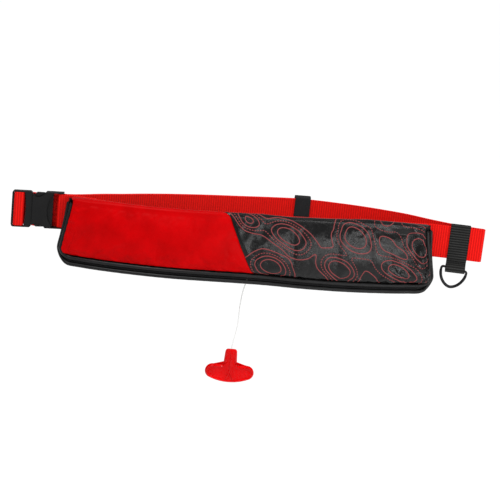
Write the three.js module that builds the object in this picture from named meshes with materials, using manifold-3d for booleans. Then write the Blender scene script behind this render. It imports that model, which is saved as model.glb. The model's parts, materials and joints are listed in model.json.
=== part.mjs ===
// A slim belt pack: a curved cloth pouch on a webbing belt that is buckled into one whole loop.
// Millimetres, +Z up. The wearer's waist is round the origin, and the pouch is on the -Y side.
import * as THREE from "three";
import { mergeVertices } from "three/addons/utils/BufferGeometryUtils.js";
import Module from "manifold-3d";

const wasm = await Module();
wasm.setup();

// General
const clear = 0.35; // gap kept between pieces that touch

// Webbing belt
const beltWidth = 38;
const beltThick = 1.8;
const layerGap = 0.4; // between two layers of webbing that lie on each other
const frontInset = 17; // belt's distance in front of the origin where it leaves the pouch on the right
const frontBow = 37; // how far the front run bows out beyond that
const rightLead = 58.5; // belt between the pouch's end and the right-hand bend
const backBow = 61; // how far the back run bows out behind the origin
const rightLeadDrop = 8.4; // how far the belt comes forward between the pouch and the right-hand bend
const bendRadius = 3; // of the right-hand bend
const sewnOverlap = 36; // length of the doubled end behind the pouch
const tailReach = 80; // where the free tail ends on the back run, right of the origin

// Pouch
const packLength = 410; // along its top edge
const packTop = 20.5;
const packDrop = 58; // its bottom edge, below the belt's middle
const packDepth = 24; // front to back, low down
const packFlare = 7.5; // each end is this much longer low down
const cornerRadius = 20;
const shoulderDrop = 3.5; // from the top ridge to where the front face begins
const shoulderDip = 4.5; // the ridge is this much slimmer in the middle than at the ends
const faceCrown = 3; // the front face's own fullness
const clothWall = 1.2;
const backWall = 1;
const seamTop = -41; // where the two colours meet, at the ridge
const seamLow = 1.4; // and at the lower edge

// Zip band round the pouch's edge: two cloth rolls with the zip between them
const outerRoll = 2.2; // radius
const innerRoll = 2.3; // radius
const zipRadius = 0.7;
const zipSink = 0.8; // the zip lies this much below the rolls' middles
const sideDepthTop = 7; // from the belt's middle to the outer roll, at the pouch's upper ends
const sideDepthLow = 12;
const bandLeanSide = 1.0; // radians by which the band turns to face sideways at the ends, low down
const bandLeanTop = 0.7; // and at their tops
const bandLeanLow = -0.1;

// Sleeve that holds the belt behind the pouch
const sleeveLength = 330;
const sleeveCentre = 15;
const sleeveWall = 1;
const sleeveHem = 4;

// Side-release buckle
const buckleLength = 57;
const buckleHeight = 41.2;
const buckleLead = 6; // from the pouch's end to the buckle
const buckleThick = 8.4; // the socket half
const maleThick = 6;
const railWide = 1.2; // of the rails above and below the webbing
const outerBar = 2.2;
const centreBar = 6.6;
const barThick = 3;
const outerSlot = 2.8;
const innerSlot = 4;
const plateWall = 1.8;
const webBar = 3.5;
const frameTail = 6.8; // of the male half's frame, past its inner slot
const mouthShort = 16; // from the socket's floor to its end
const armShort = 2.4; // from the arms' tips to that floor
const guideLength = 14;
const plateBite = 9; // depth of the curve in the plates' inner edge
const floorDeep = 4.5;
const foldRadius = 1.3; // of the webbing where it turns through the buckle
const leftSlope = 0.036; // by which the belt and buckle fall towards their left end
const slopeStart = 10; // length over which that begins
const backSag = 1.8; // of the belt behind the buckle
const sagRamp = 10; // length over which that begins
const sagEnd = 50; // and over which it ends

// Keeper on the back run
const keeperAt = 65;
const keeperWidth = 18.5;
const keeperWall = 1.6;
const keeperSlack = 2; // above the belt's edge

// Loop and ring on the right
const ringLead = 34; // from the pouch's end to the ring
const tabWidth = 22.5;
const tabThick = 1.5;
const tabSewn = 3.8; // below the belt's lower edge, where the loop's ends meet
const ringInner = 26.5;
const ringDepth = 22; // from the bar's middle to the bow's middle
const ringWire = 2.8;
const ringCorner = 2.2;
const ringPoint = 1.15; // 1 for an oval bow, more for a pointed one
const ringTilt = 8; // degrees by which the ring lies askew in its loop
const ringSlide = 0.8; // by which it has slid towards the pouch
const barBelow = 11.5; // from the belt's lower edge to the ring's bar

// Pull cord and handle
const cordDiameter = 1.5;
const handleThick = 7;
const handleSpan = 55.5;
const handleHeight = 40;
const stemWidth = 13.6;
const stemHeight = 19.5;
const handleRound = 2.5;
const gripRadius = 8; // of the grip's ends
const cordSlot = cordDiameter + 2.4 * clear; // the cord's way out through the pouch's bottom

// The cord's route, from inside the pouch down to the handle
const CORD_ROUTE = [
  { x: -1.2, y: -62, z: -47 },
  { x: -1.5, y: -62, z: -51 },
  { x: -2.0, y: -62, z: -55.3 },
  { x: -3.0, y: -62, z: -59.5 },
  { x: -4.1, y: -62, z: -64.5 },
  { x: -5.0, y: -62, z: -70.5 },
  { x: -5.7, y: -62, z: -77.5 },
  { x: -6.1, y: -62, z: -84 },
  { x: -6.2, y: -62, z: -90.5 },
  { x: -6.2, y: -62, z: -97 },
  { x: -6.4, y: -62, z: -103.5 },
  { x: -6.9, y: -62, z: -110 },
  { x: -7.9, y: -62, z: -116.5 },
  { x: -9.0, y: -62, z: -122.5 },
  { x: -10.0, y: -62, z: -129 },
  { x: -10.5, y: -62, z: -134 },
];

// Front run: along is a share of half the pouch's length, out a share of frontBow
const FRONT_LINE = [
  { along: -1.2, out: 0.35 },
  { along: -1.0, out: 0.36 },
  { along: -0.82, out: 0.66 },
  { along: -0.68, out: 0.83 },
  { along: -0.51, out: 0.96 },
  { along: -0.34, out: 1.0 },
  { along: -0.15, out: 0.93 },
  { along: 0.22, out: 0.64 },
  { along: 0.47, out: 0.41 },
  { along: 0.65, out: 0.24 },
  { along: 0.85, out: 0.08 },
  { along: 1.0, out: 0.0 },
];

// Back run, from right to left: along is a share of loopHalf, out a share of backBow
const BACK_LINE = [
  { along: 0.94, out: -0.24 },
  { along: 0.892, out: -0.143 },
  { along: 0.794, out: 0.107 },
  { along: 0.698, out: 0.4 },
  { along: 0.6, out: 0.59 },
  { along: 0.496, out: 0.745 },
  { along: 0.392, out: 0.845 },
  { along: 0.31, out: 0.905 },
  { along: 0.24, out: 0.915 },
  { along: 0.174, out: 0.865 },
  { along: 0.064, out: 0.766 },
  { along: -0.042, out: 0.655 },
  { along: -0.151, out: 0.55 },
  { along: -0.257, out: 0.43 },
  { along: -0.362, out: 0.29 },
  { along: -0.464, out: 0.125 },
  { along: -0.566, out: -0.07 },
  { along: -0.666, out: -0.22 },
  { along: -0.732, out: -0.3 },
];

// Pouch's lower edge: at is a share of half its length, drop a share of packDrop, deep of packDepth
const LOWER_EDGE = [
  { at: -1.0, drop: 0.97, deep: 0.8 },
  { at: -0.8, drop: 0.95, deep: 0.94 },
  { at: -0.5, drop: 0.935, deep: 1.0 },
  { at: -0.2, drop: 0.93, deep: 1.0 },
  { at: 0.05, drop: 0.95, deep: 1.0 },
  { at: 0.3, drop: 1.0, deep: 1.0 },
  { at: 0.55, drop: 1.03, deep: 1.0 },
  { at: 0.8, drop: 1.03, deep: 0.95 },
  { at: 1.0, drop: 1.01, deep: 0.82 },
];

const halfPack = packLength / 2;
const loopHalf = halfPack + rightLead;
const ringAt = halfPack + ringLead;
const bandStart = 0.014; // the band stops this share of the rim short of the ridge
const halfBelt = beltThick / 2;
const bandWide = 2 * outerRoll + 2 * innerRoll + 2 * zipRadius + 3 * clear;
const backFace = halfBelt + clear; // of the pouch's back panel, from the belt's middle

const RED = 0xc8100e;
const WEB_RED = 0xd81b14;
const BLACK = 0x17181a;

function material(color, roughness, metalness = 0) {
  return new THREE.MeshStandardMaterial({ color, roughness, metalness });
}

const mix = THREE.MathUtils.lerp;
const rampUp = (x) => THREE.MathUtils.smoothstep(x, 0, 1);

// Value of a table's column at a place along it, smooth through the rows
function tableAt(table, key, column, place) {
  const sign = table[table.length - 1][key] > table[0][key] ? 1 : -1;
  let row = 0;
  while (row < table.length - 2 && sign * (place - table[row + 1][key]) > 0) row += 1;
  const slope = (i) => {
    const a = table[Math.max(i - 1, 0)];
    const b = table[Math.min(i + 1, table.length - 1)];
    return (b[column] - a[column]) / (b[key] - a[key]);
  };
  const from = table[row];
  const to = table[row + 1];
  const span = to[key] - from[key];
  const t = THREE.MathUtils.clamp((place - from[key]) / span, 0, 1);
  const rise = t * t * (3 - 2 * t);
  const bend = t * (1 - t) * span;
  return mix(from[column], to[column], rise) + bend * ((1 - t) * slope(row) - t * slope(row + 1));
}

// Geometry from corner points and triangles, faces turned outwards
function solidFrom(points, triangles) {
  const corners = new Float32Array(points.flatMap((p) => [p.x, p.y, p.z]));
  let volume = 0;
  for (const [a, b, c] of triangles) {
    volume += points[a].dot(new THREE.Vector3().crossVectors(points[b], points[c]));
  }
  const index = triangles.flatMap(([a, b, c]) => (volume < 0 ? [a, c, b] : [a, b, c]));
  const geometry = new THREE.BufferGeometry();
  geometry.setAttribute("position", new THREE.BufferAttribute(corners, 3));
  geometry.setIndex(index);
  geometry.computeVertexNormals();
  return geometry;
}

// A cloth wall of even thickness over surface(u, v), closed round its edge
function sheetSolid(surface, wall, across, up) {
  const step = 1e-3;
  const points = [];
  const row = up + 1;
  for (const side of [0.5, -0.5]) {
    for (let i = 0; i <= across; i += 1) {
      for (let j = 0; j <= up; j += 1) {
        const u = i / across;
        const v = j / up;
        const du = surface(Math.min(u + step, 1), v).sub(surface(Math.max(u - step, 0), v));
        const dv = surface(u, Math.min(v + step, 1)).sub(surface(u, Math.max(v - step, 0)));
        const normal = du.cross(dv).normalize();
        points.push(surface(u, v).addScaledVector(normal, side * wall));
      }
    }
  }
  const back = (across + 1) * row;
  const triangles = [];
  const quad = (a, b, c, d) => triangles.push([a, b, c], [a, c, d]);
  for (let i = 0; i < across; i += 1) {
    for (let j = 0; j < up; j += 1) {
      const a = i * row + j;
      quad(a, a + row, a + row + 1, a + 1);
      quad(back + a, back + a + 1, back + a + row + 1, back + a + row);
    }
  }
  for (let i = 0; i < across; i += 1) {
    const low = i * row;
    const high = low + up;
    quad(low, back + low, back + low + row, low + row);
    quad(high, high + row, back + high + row, back + high);
  }
  for (let j = 0; j < up; j += 1) {
    const near = j;
    const far = across * row + j;
    quad(near, near + 1, back + near + 1, back + near);
    quad(far, back + far, back + far + 1, far + 1);
  }
  return solidFrom(points, triangles);
}

// Outline of a strip of even thickness along a line of points
function stripOutline(line, thick) {
  const near = [];
  const far = [];
  line.forEach((p, i) => {
    const before = line[Math.max(i - 1, 0)];
    const after = line[Math.min(i + 1, line.length - 1)];
    const along = after.clone().sub(before).normalize();
    const offset = new THREE.Vector2(-along.y, along.x).multiplyScalar(thick / 2);
    near.push(p.clone().add(offset));
    far.push(p.clone().sub(offset));
  });
  return new THREE.Shape([...near, ...far.reverse()]);
}

function arc(x, y, radius, from, to, steps) {
  const points = [];
  for (let i = 0; i <= steps; i += 1) {
    const angle = THREE.MathUtils.degToRad(mix(from, to, i / steps));
    points.push(new THREE.Vector2(x + radius * Math.cos(angle), y + radius * Math.sin(angle)));
  }
  return points;
}

// The belt's middle line in front: its place and the direction away from the waist
function frontY(s) {
  return -(frontInset + frontBow * tableAt(FRONT_LINE, "along", "out", s / halfPack));
}

function outward(s) {
  const slope = (frontY(s + 1) - frontY(s - 1)) / 2;
  return new THREE.Vector2(slope, -1).normalize();
}

// A point given along the front run, out from its middle line, and up
function place(s, out, z) {
  const away = outward(s);
  return new THREE.Vector3(s + out * away.x, frontY(s) + out * away.y, z);
}

const placed = (p) => place(p.x, p.y, p.z);

// The pouch's edge as seen from in front: down one end, round the corner, along the bottom and up
function bottomZ(s) {
  return -packDrop * tableAt(LOWER_EDGE, "at", "drop", s / halfPack);
}

function rim(t) {
  const side = t < 0.5 ? -1 : 1;
  const way = t < 0.5 ? t : 1 - t;
  const cornerS = side * (halfPack + packFlare - cornerRadius);
  const cornerZ = bottomZ(cornerS) + cornerRadius;
  if (way < 0.2) {
    const down = way / 0.2;
    const s = side * (halfPack + packFlare * down ** 1.5);
    return { s, z: mix(packTop - shoulderDrop, cornerZ, down), inS: -side, inZ: 0, turn: 1, down };
  }
  if (way < 0.28) {
    const round = (way - 0.2) / 0.08;
    const angle = (round * Math.PI) / 2;
    const s = cornerS + side * cornerRadius * Math.cos(angle);
    const z = cornerZ - cornerRadius * Math.sin(angle);
    const turn = 1 - rampUp(round);
    return { s, z, inS: -side * Math.cos(angle), inZ: Math.sin(angle), turn, down: 1 };
  }
  const s = mix(0, cornerS, (0.5 - way) / 0.22);
  return { s, z: bottomZ(s), inS: 0, inZ: 1, turn: 0, down: 1 };
}

// A point of the zip band: across from its outer edge, lift out of its own face
function bandPoint(t, across, lift = 0) {
  const edge = rim(t);
  const lean = mix(bandLeanLow, mix(bandLeanTop, bandLeanSide, edge.down), edge.turn);
  const low = packDepth * tableAt(LOWER_EDGE, "at", "deep", edge.s / halfPack);
  const deep = mix(low, mix(sideDepthTop, sideDepthLow, edge.down), edge.turn);
  const inset = across * Math.cos(lean) - lift * Math.sin(lean);
  const out = deep + across * Math.sin(lean) + lift * Math.cos(lean);
  return new THREE.Vector3(edge.s + edge.inS * inset, out, edge.z + edge.inZ * inset);
}

function alongBand(across, radius, sides, lift = 0) {
  const steps = 56;
  const points = [];
  for (let i = 0; i <= steps; i += 1) {
    points.push(placed(bandPoint(mix(bandStart, 1 - bandStart, i / steps), across, lift)));
  }
  return tubeAlong(points, radius, sides, steps);
}

function tubeAlong(points, radius, sides, steps) {
  const section = new THREE.Shape(
    arc(0, 0, radius, 0, 360 - 360 / sides, sides - 1),
  );
  const extrudePath = new THREE.CatmullRomCurve3(points);
  return new THREE.ExtrudeGeometry(section, { steps, bevelEnabled: false, extrudePath });
}

// The front panel as one surface: a full face, then over the ridge to the back seam
const faceShare = 0.7;
const cornerT = 0.24; // the middle of the rounded corner on the rim
const borderAcross = bandWide + 3 * clear + clothWall / 2;
const seamOut = backFace + backWall + clear + clothWall / 2;

function facePoint(u, v) {
  const left = (q) => bandPoint(mix(cornerT, 0, q), borderAcross);
  const right = (q) => bandPoint(mix(1 - cornerT, 1, q), borderAcross);
  const low = bandPoint(mix(cornerT, 1 - cornerT, u), borderAcross);
  const top = left(1).lerp(right(1), u);
  top.y -= shoulderDip * Math.sqrt(Math.sin(Math.PI * u));
  const sides = left(v).lerp(right(v), u);
  const ends = low.lerp(top, v);
  const corners = left(0).lerp(right(0), u).lerp(left(1).lerp(right(1), u), v);
  const face = sides.add(ends).sub(corners);
  face.y += faceCrown * Math.sqrt(Math.sin(Math.PI * u)) * Math.sin(Math.PI * v);
  return face;
}

function ridgePoint(u, q) {
  const from = facePoint(u, 1);
  const angle = Math.PI * q;
  const end = Math.abs(2 * u - 1);
  const rise = shoulderDrop * (1 - 0.75 * end ** 8);
  const reach = mix(0, Math.sign(2 * u - 1) * (halfPack - 1 - Math.abs(from.x)), end ** 8 * q);
  const out = mix(from.y, seamOut, (1 - Math.cos(angle)) / 2);
  return new THREE.Vector3(from.x + reach, out, from.z + rise * Math.sin(angle));
}

function panelPoint(u, v) {
  return v < faceShare ? facePoint(u, v / faceShare) : ridgePoint(u, (v - faceShare) / (1 - faceShare));
}

// Share across the panel at which the colours meet
function seamShare(v) {
  const left = facePoint(0, 0.5).x;
  const right = facePoint(1, 0.5).x;
  return (mix(seamLow, seamTop, v) - left) / (right - left);
}

const seamGap = clear / packLength / 2;

function redPanel() {
  const surface = (u, v) => placed(panelPoint(u * (seamShare(v) - seamGap), v));
  return sheetSolid(surface, clothWall, 16, 12);
}

function blackPanel() {
  const surface = (u, v) => {
    const start = seamShare(v) + seamGap;
    return placed(panelPoint(mix(start, 1, u), v));
  };
  return sheetSolid(surface, clothWall, 18, 12);
}

function backPanel() {
  const inset = clear;
  const edgeAt = (t) => {
    const edge = rim(t);
    return new THREE.Vector2(edge.s + edge.inS * inset, edge.z + edge.inZ * inset);
  };
  const surface = (u, v) => {
    const low = edgeAt(mix(cornerT, 1 - cornerT, u));
    const left = edgeAt(mix(cornerT, 0, v));
    const right = edgeAt(mix(1 - cornerT, 1, v));
    const sides = left.clone().lerp(right, u);
    const top = edgeAt(0).lerp(edgeAt(1), u);
    const corners = edgeAt(cornerT).lerp(edgeAt(1 - cornerT), u).lerp(top, v);
    const p = sides.add(low.lerp(top, v)).sub(corners);
    return place(p.x, backFace + backWall / 2, p.y);
  };
  return sheetSolid(surface, backWall, 30, 6);
}

// The pouch's ends and bottom, with the slot that the cord comes out of
function gusset() {
  const near = backFace + backWall + clear;
  const surface = (u, v) => {
    const t = mix(bandStart, 1 - bandStart, u);
    const edge = rim(t);
    const far = bandPoint(t, outerRoll + clear).y - outerRoll - clear;
    const inset = clear + clothWall / 2;
    const out = mix(near, far, v);
    return place(edge.s + edge.inS * inset, out, edge.z + edge.inZ * inset);
  };
  const wall = sheetSolid(surface, clothWall, 52, 2);
  const exit = CORD_ROUTE[2];
  const slot = new THREE.BoxGeometry(cordSlot, cordSlot, 6 * clothWall);
  slot.translate(exit.x, exit.y, bottomZ(exit.x));
  return cut(wall, slot);
}

function manifoldOf(geometry) {
  const bare = geometry.clone();
  bare.deleteAttribute("normal");
  bare.deleteAttribute("uv");
  const merged = mergeVertices(bare, 1e-4);
  return new wasm.Manifold(
    new wasm.Mesh({
      numProp: 3,
      vertProperties: merged.attributes.position.array,
      triVerts: new Uint32Array(merged.index.array),
    }),
  );
}

function geometryOf(solid) {
  const mesh = solid.getMesh();
  const geometry = new THREE.BufferGeometry();
  geometry.setAttribute("position", new THREE.BufferAttribute(new Float32Array(mesh.vertProperties), 3));
  geometry.setIndex(new THREE.BufferAttribute(new Uint32Array(mesh.triVerts), 1));
  geometry.computeVertexNormals();
  return geometry;
}

function cut(body, ...tools) {
  return geometryOf(tools.map(manifoldOf).reduce((left, tool) => left.subtract(tool), manifoldOf(body)));
}

function join(bodies) {
  return geometryOf(bodies.map(manifoldOf).reduce((all, next) => all.add(next)));
}

// The sleeve: flat behind the belt, hemmed to the pouch's back above and below it
function beltSleeve() {
  const hemOut = backFace - clear - sleeveWall / 2;
  const flatOut = -(halfBelt + clear + sleeveWall / 2);
  const edge = beltWidth / 2 + clear + sleeveWall / 2;
  const low = -(edge + sleeveHem);
  const high = packTop - shoulderDrop + sleeveWall;
  const section = [
    { v: 0, out: hemOut, z: low },
    { v: 0.125, out: hemOut, z: low + 0.6 * sleeveHem },
    { v: 0.25, out: flatOut, z: -edge },
    { v: 0.625, out: flatOut, z: 0 },
    { v: 1, out: flatOut, z: high },
  ];
  const surface = (u, v) => {
    const s = sleeveCentre + sleeveLength * (u - 0.5);
    return place(s, tableAt(section, "v", "out", v), tableAt(section, "v", "z", v));
  };
  return sheetSolid(surface, sleeveWall, 22, 8);
}

// Places along the buckle, from its outer end towards the pouch
const buckleRight = -(halfPack + buckleLead);
const buckleLeft = buckleRight - buckleLength;
const barMiddle = buckleRight - railWide - webBar / 2;
const wrapRadius = webBar / 2 + clear + halfBelt;
const buckleY = frontY(buckleRight) + wrapRadius;
const loadY = buckleY + buckleThick / 2 + layerGap + halfBelt;
const layer = beltThick + layerGap;
const slotOuter = buckleLeft + outerBar + outerSlot - clear - halfBelt;
const slotInner = buckleLeft + outerBar + outerSlot + centreBar + clear + halfBelt;
const overBar = buckleY - (barThick / 2 + clear + halfBelt);

function rightLeadY(t) {
  return frontY(halfPack) - rightLeadDrop * t ** 1.3;
}

// The back run's middle line, from the right-hand bend to behind the buckle
function backRun() {
  const rows = BACK_LINE.map((row) => new THREE.Vector3(row.along * loopHalf, row.out * backBow, 0));
  const bendY = rightLeadY(1) + 2 * bendRadius;
  const start = new THREE.Vector3(loopHalf, bendY, 0);
  const flat = [2, -15, -30].map((from) => new THREE.Vector3(buckleRight + from, loadY, 0));
  const curve = new THREE.CatmullRomCurve3([start, ...rows, ...flat], false, "centripetal");
  return curve.getSpacedPoints(64).map((p) => new THREE.Vector2(p.x, p.y));
}

function offsetLine(line, by) {
  return line.map((p, i) => {
    const before = line[Math.max(i - 1, 0)];
    const after = line[Math.min(i + 1, line.length - 1)];
    const along = after.clone().sub(before).normalize();
    return p.clone().add(new THREE.Vector2(along.y, -along.x).multiplyScalar(by));
  });
}

// One length of webbing: sewn round the buckle's bar, along the front, back, through the buckle, tail
function beltLine() {
  const steps = 40;
  const frontRun = [];
  for (let i = 0; i <= steps; i += 1) {
    const s = mix(-halfPack - 1, halfPack, i / steps);
    frontRun.push(new THREE.Vector2(s, frontY(s)));
  }
  const sewn = frontRun
    .filter((p) => p.x < sewnOverlap - halfPack)
    .map((p) => p.clone().add(new THREE.Vector2(0, layer)))
    .reverse();
  const wrap = arc(barMiddle, buckleY, wrapRadius, 80, 270, 10);
  const lead = [0.25, 0.5, 0.75].map(
    (t) => new THREE.Vector2(mix(halfPack, loopHalf, t), rightLeadY(t)),
  );
  const bend = arc(loopHalf, rightLeadY(1) + bendRadius, bendRadius, -90, 60, 8);
  const back = backRun();
  const tail = offsetLine(back, layer)
    .filter((p) => p.x < tailReach && p.x > slotInner)
    .reverse();
  const weave = [
    ...arc(slotInner + foldRadius, loadY - foldRadius, foldRadius, 90, 180, 4),
    ...arc(slotInner - foldRadius, overBar + foldRadius, foldRadius, 0, -90, 4),
    ...arc(slotOuter + foldRadius, overBar + foldRadius, foldRadius, -90, -180, 4),
    ...arc(slotOuter + foldRadius, loadY + layer - foldRadius, foldRadius, 180, 90, 4),
  ];
  const run = back.filter((p) => p.x > slotInner + 2 * foldRadius && p.x < loopHalf - 1);
  return [...sewn, ...wrap, ...frontRun, ...lead, ...bend, ...run, ...weave, ...tail];
}

function belt() {
  const shape = stripOutline(beltLine(), beltThick);
  const geometry = new THREE.ExtrudeGeometry(shape, { depth: beltWidth, bevelEnabled: false });
  return settleLeft(geometry.translate(0, 0, -beltWidth / 2));
}

// The left end falls a little, and the belt behind the buckle hangs lower than the buckle
function settleLeft(geometry) {
  const corners = geometry.attributes.position;
  for (let i = 0; i < corners.count; i += 1) {
    const x = corners.getX(i);
    const reach = Math.max(0, -halfPack - x);
    const fall = reach < slopeStart ? reach ** 2 / (2 * slopeStart) : reach - slopeStart / 2;
    const behind = corners.getY(i) > buckleY + buckleThick / 2 + layerGap / 2 ? 1 : 0;
    const begin = rampUp((x - slotInner - beltThick) / sagRamp);
    const end = 1 - rampUp((x - buckleRight) / sagEnd);
    corners.setZ(i, corners.getZ(i) - leftSlope * fall - backSag * behind * begin * end);
  }
  geometry.computeVertexNormals();
  return geometry;
}

// Extrudes a section drawn in (out, up) along the belt at a point of it
function alongBelt(shape, width, at, away) {
  const geometry = new THREE.ExtrudeGeometry(shape, { depth: width, bevelEnabled: false, curveSegments: 6 });
  geometry.translate(0, 0, -width / 2);
  const out = new THREE.Vector3(away.x, away.y, 0);
  const up = new THREE.Vector3(0, 0, 1);
  const basis = new THREE.Matrix4().makeBasis(out, up, new THREE.Vector3().crossVectors(out, up));
  basis.setPosition(at.x, at.y, 0);
  return geometry.applyMatrix4(basis);
}

function roundedRect(shape, left, low, right, high, radius) {
  shape.absarc(right - radius, low + radius, radius, -Math.PI / 2, 0, false);
  shape.absarc(right - radius, high - radius, radius, 0, Math.PI / 2, false);
  shape.absarc(left + radius, high - radius, radius, Math.PI / 2, Math.PI, false);
  shape.absarc(left + radius, low + radius, radius, Math.PI, 1.5 * Math.PI, false);
  shape.closePath();
  return shape;
}

// Keeper: a band of webbing round the back run and the tail on it
function keeper() {
  const line = backRun();
  const nearest = line.reduce((a, b) => (Math.abs(b.x - keeperAt) < Math.abs(a.x - keeperAt) ? b : a));
  const i = line.indexOf(nearest);
  const along = line[i + 1].clone().sub(line[i - 1]).normalize();
  const away = new THREE.Vector2(along.y, -along.x);
  const sag = keeperWidth ** 2 / (8 * backBow * 1.5); // the belt's own curve under the keeper
  const near = -(halfBelt + clear + sag);
  const far = halfBelt + layer + clear + sag;
  const low = -(beltWidth / 2 + clear);
  const high = beltWidth / 2 + keeperSlack;
  const shape = roundedRect(
    new THREE.Shape(),
    near - keeperWall,
    low - keeperWall,
    far + keeperWall,
    high + keeperWall,
    2 * keeperWall,
  );
  shape.holes.push(roundedRect(new THREE.Path(), near, low, far, high, clear));
  return alongBelt(shape, keeperWidth, nearest, away);
}

const ringBarZ = -(beltWidth / 2 + barBelow);

function ringSeat() {
  const t = (ringAt - halfPack) / (loopHalf - halfPack);
  const y = rightLeadY(t);
  const slope = (rightLeadY(t + 0.01) - rightLeadY(t - 0.01)) / (0.02 * (loopHalf - halfPack));
  return { at: new THREE.Vector2(ringAt, y), away: new THREE.Vector2(slope, -1).normalize() };
}

// Webbing loop: over the belt, sewn to itself below it, then round the ring's bar
function ringLoop() {
  const leg = halfBelt + clear + tabThick / 2;
  const pinch = (tabThick + clear) / 2;
  const edge = beltWidth / 2 + clear;
  const askew = (tabWidth / 2) * Math.tan(THREE.MathUtils.degToRad(ringTilt));
  const eye = ringWire / 2 + clear + askew + tabThick / 2;
  const line = [
    new THREE.Vector2(pinch, -edge - tabSewn),
    new THREE.Vector2(pinch, -edge - 2.2),
    new THREE.Vector2(leg, -edge + 0.6),
    ...arc(0, edge, leg, 0, 180, 8),
    new THREE.Vector2(-leg, -edge + 0.6),
    new THREE.Vector2(-pinch, -edge - 2.2),
    new THREE.Vector2(-pinch, ringBarZ + eye + 1.4),
    ...arc(0, ringBarZ, eye, 140, 400, 14),
    new THREE.Vector2(pinch, ringBarZ + eye + 1.4),
    new THREE.Vector2(pinch, -edge - tabSewn - layerGap),
  ];
  const seat = ringSeat();
  return alongBelt(stripOutline(line, tabThick), tabWidth, seat.at, seat.away);
}

// D-ring: a straight bar and a bow, in a frame whose origin is the bar's middle
function dRing() {
  const half = (ringInner + ringWire) / 2;
  const flat = half - ringCorner;
  const bow = [];
  for (let i = 1; i < 18; i += 1) {
    const angle = (Math.PI * i) / 18;
    const drop = (ringDepth - ringCorner) * Math.sin(angle);
    const x = Math.sign(Math.cos(angle)) * half * Math.abs(Math.cos(angle)) ** ringPoint;
    bow.push(new THREE.Vector2(x, -ringCorner - drop));
  }
  const line = [
    ...arc(flat, -ringCorner, ringCorner, 90, 0, 3),
    ...bow,
    ...arc(-flat, -ringCorner, ringCorner, 180, 90, 3),
    new THREE.Vector2(0, 0),
  ];
  const sides = 8;
  const points = [];
  line.forEach((p, i) => {
    const before = line[(i + line.length - 1) % line.length];
    const after = line[(i + 1) % line.length];
    const along = after.clone().sub(before).normalize();
    for (let k = 0; k < sides; k += 1) {
      const angle = (2 * Math.PI * k) / sides;
      const outwards = (ringWire / 2) * Math.cos(angle);
      const x = p.x - along.y * outwards;
      const z = p.y + along.x * outwards;
      points.push(new THREE.Vector3(x, (ringWire / 2) * Math.sin(angle), z));
    }
  });
  const triangles = [];
  line.forEach((_, i) => {
    const next = ((i + 1) % line.length) * sides;
    for (let k = 0; k < sides; k += 1) {
      const turn = (k + 1) % sides;
      triangles.push([i * sides + k, next + k, next + turn]);
      triangles.push([i * sides + k, next + turn, i * sides + turn]);
    }
  });
  return solidFrom(points, triangles);
}

// Buckle halves, drawn in (along, up) and extruded towards the front
function slab(shape, from, to) {
  const settings = { depth: to - from, bevelEnabled: false, curveSegments: 8 };
  const geometry = new THREE.ExtrudeGeometry(shape, settings);
  return geometry.translate(0, 0, from);
}

function box(left, low, right, high, thick) {
  const geometry = new THREE.BoxGeometry(right - left, high - low, thick);
  return geometry.translate((left + right) / 2, (low + high) / 2, 0);
}

const halfHigh = buckleHeight / 2;
const frameInner = halfHigh - railWide;
const maleEnd = outerBar + outerSlot + centreBar + innerSlot + frameTail; // where the frame ends and the arms go in
const mouthEnd = buckleLength - mouthShort; // of the socket, at its floor
const armEnd = mouthEnd - armShort;

function buckleMale() {
  const frame = roundedRect(new THREE.Shape(), 0, -halfHigh, maleEnd, halfHigh, 3);
  const outer = roundedRect(new THREE.Shape(), outerBar, -frameInner, outerBar + outerSlot, frameInner, 0.6);
  const innerLeft = outerBar + outerSlot + centreBar;
  const inner = new THREE.Shape();
  inner.moveTo(innerLeft, -frameInner);
  inner.lineTo(innerLeft + 2.6, -frameInner);
  inner.quadraticCurveTo(innerLeft + innerSlot + 1.6, 0, innerLeft + 2.6, frameInner);
  inner.lineTo(innerLeft, frameInner);
  inner.closePath();
  const recess = box(-1, -frameInner, innerLeft + 0.2, frameInner, maleThick);
  const thin = cut(
    slab(frame, -maleThick / 2, maleThick / 2),
    slab(outer, -maleThick, maleThick),
    slab(inner, -maleThick, maleThick),
    recess.clone().translate(0, 0, (maleThick + barThick) / 2),
    recess.clone().translate(0, 0, -(maleThick + barThick) / 2),
  );
  const arms = [-1, 1].map((side) => {
    const arm = new THREE.Shape();
    const z = (value) => side * value;
    arm.moveTo(maleEnd - 2, z(12.5));
    arm.lineTo(armEnd, z(13.5));
    arm.lineTo(armEnd, z(16));
    arm.lineTo(armEnd - 3, z(19.4));
    arm.lineTo(maleEnd + 5, z(19.6));
    arm.lineTo(maleEnd + 2, z(16.4));
    arm.lineTo(maleEnd - 2, z(16.4));
    arm.closePath();
    return slab(arm, -1.9, 1.9);
  });
  const guide = box(maleEnd - 2, -2.5, maleEnd - 2 + guideLength, 2.5, 2.4);
  return join([thin, ...arms, guide]);
}

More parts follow.
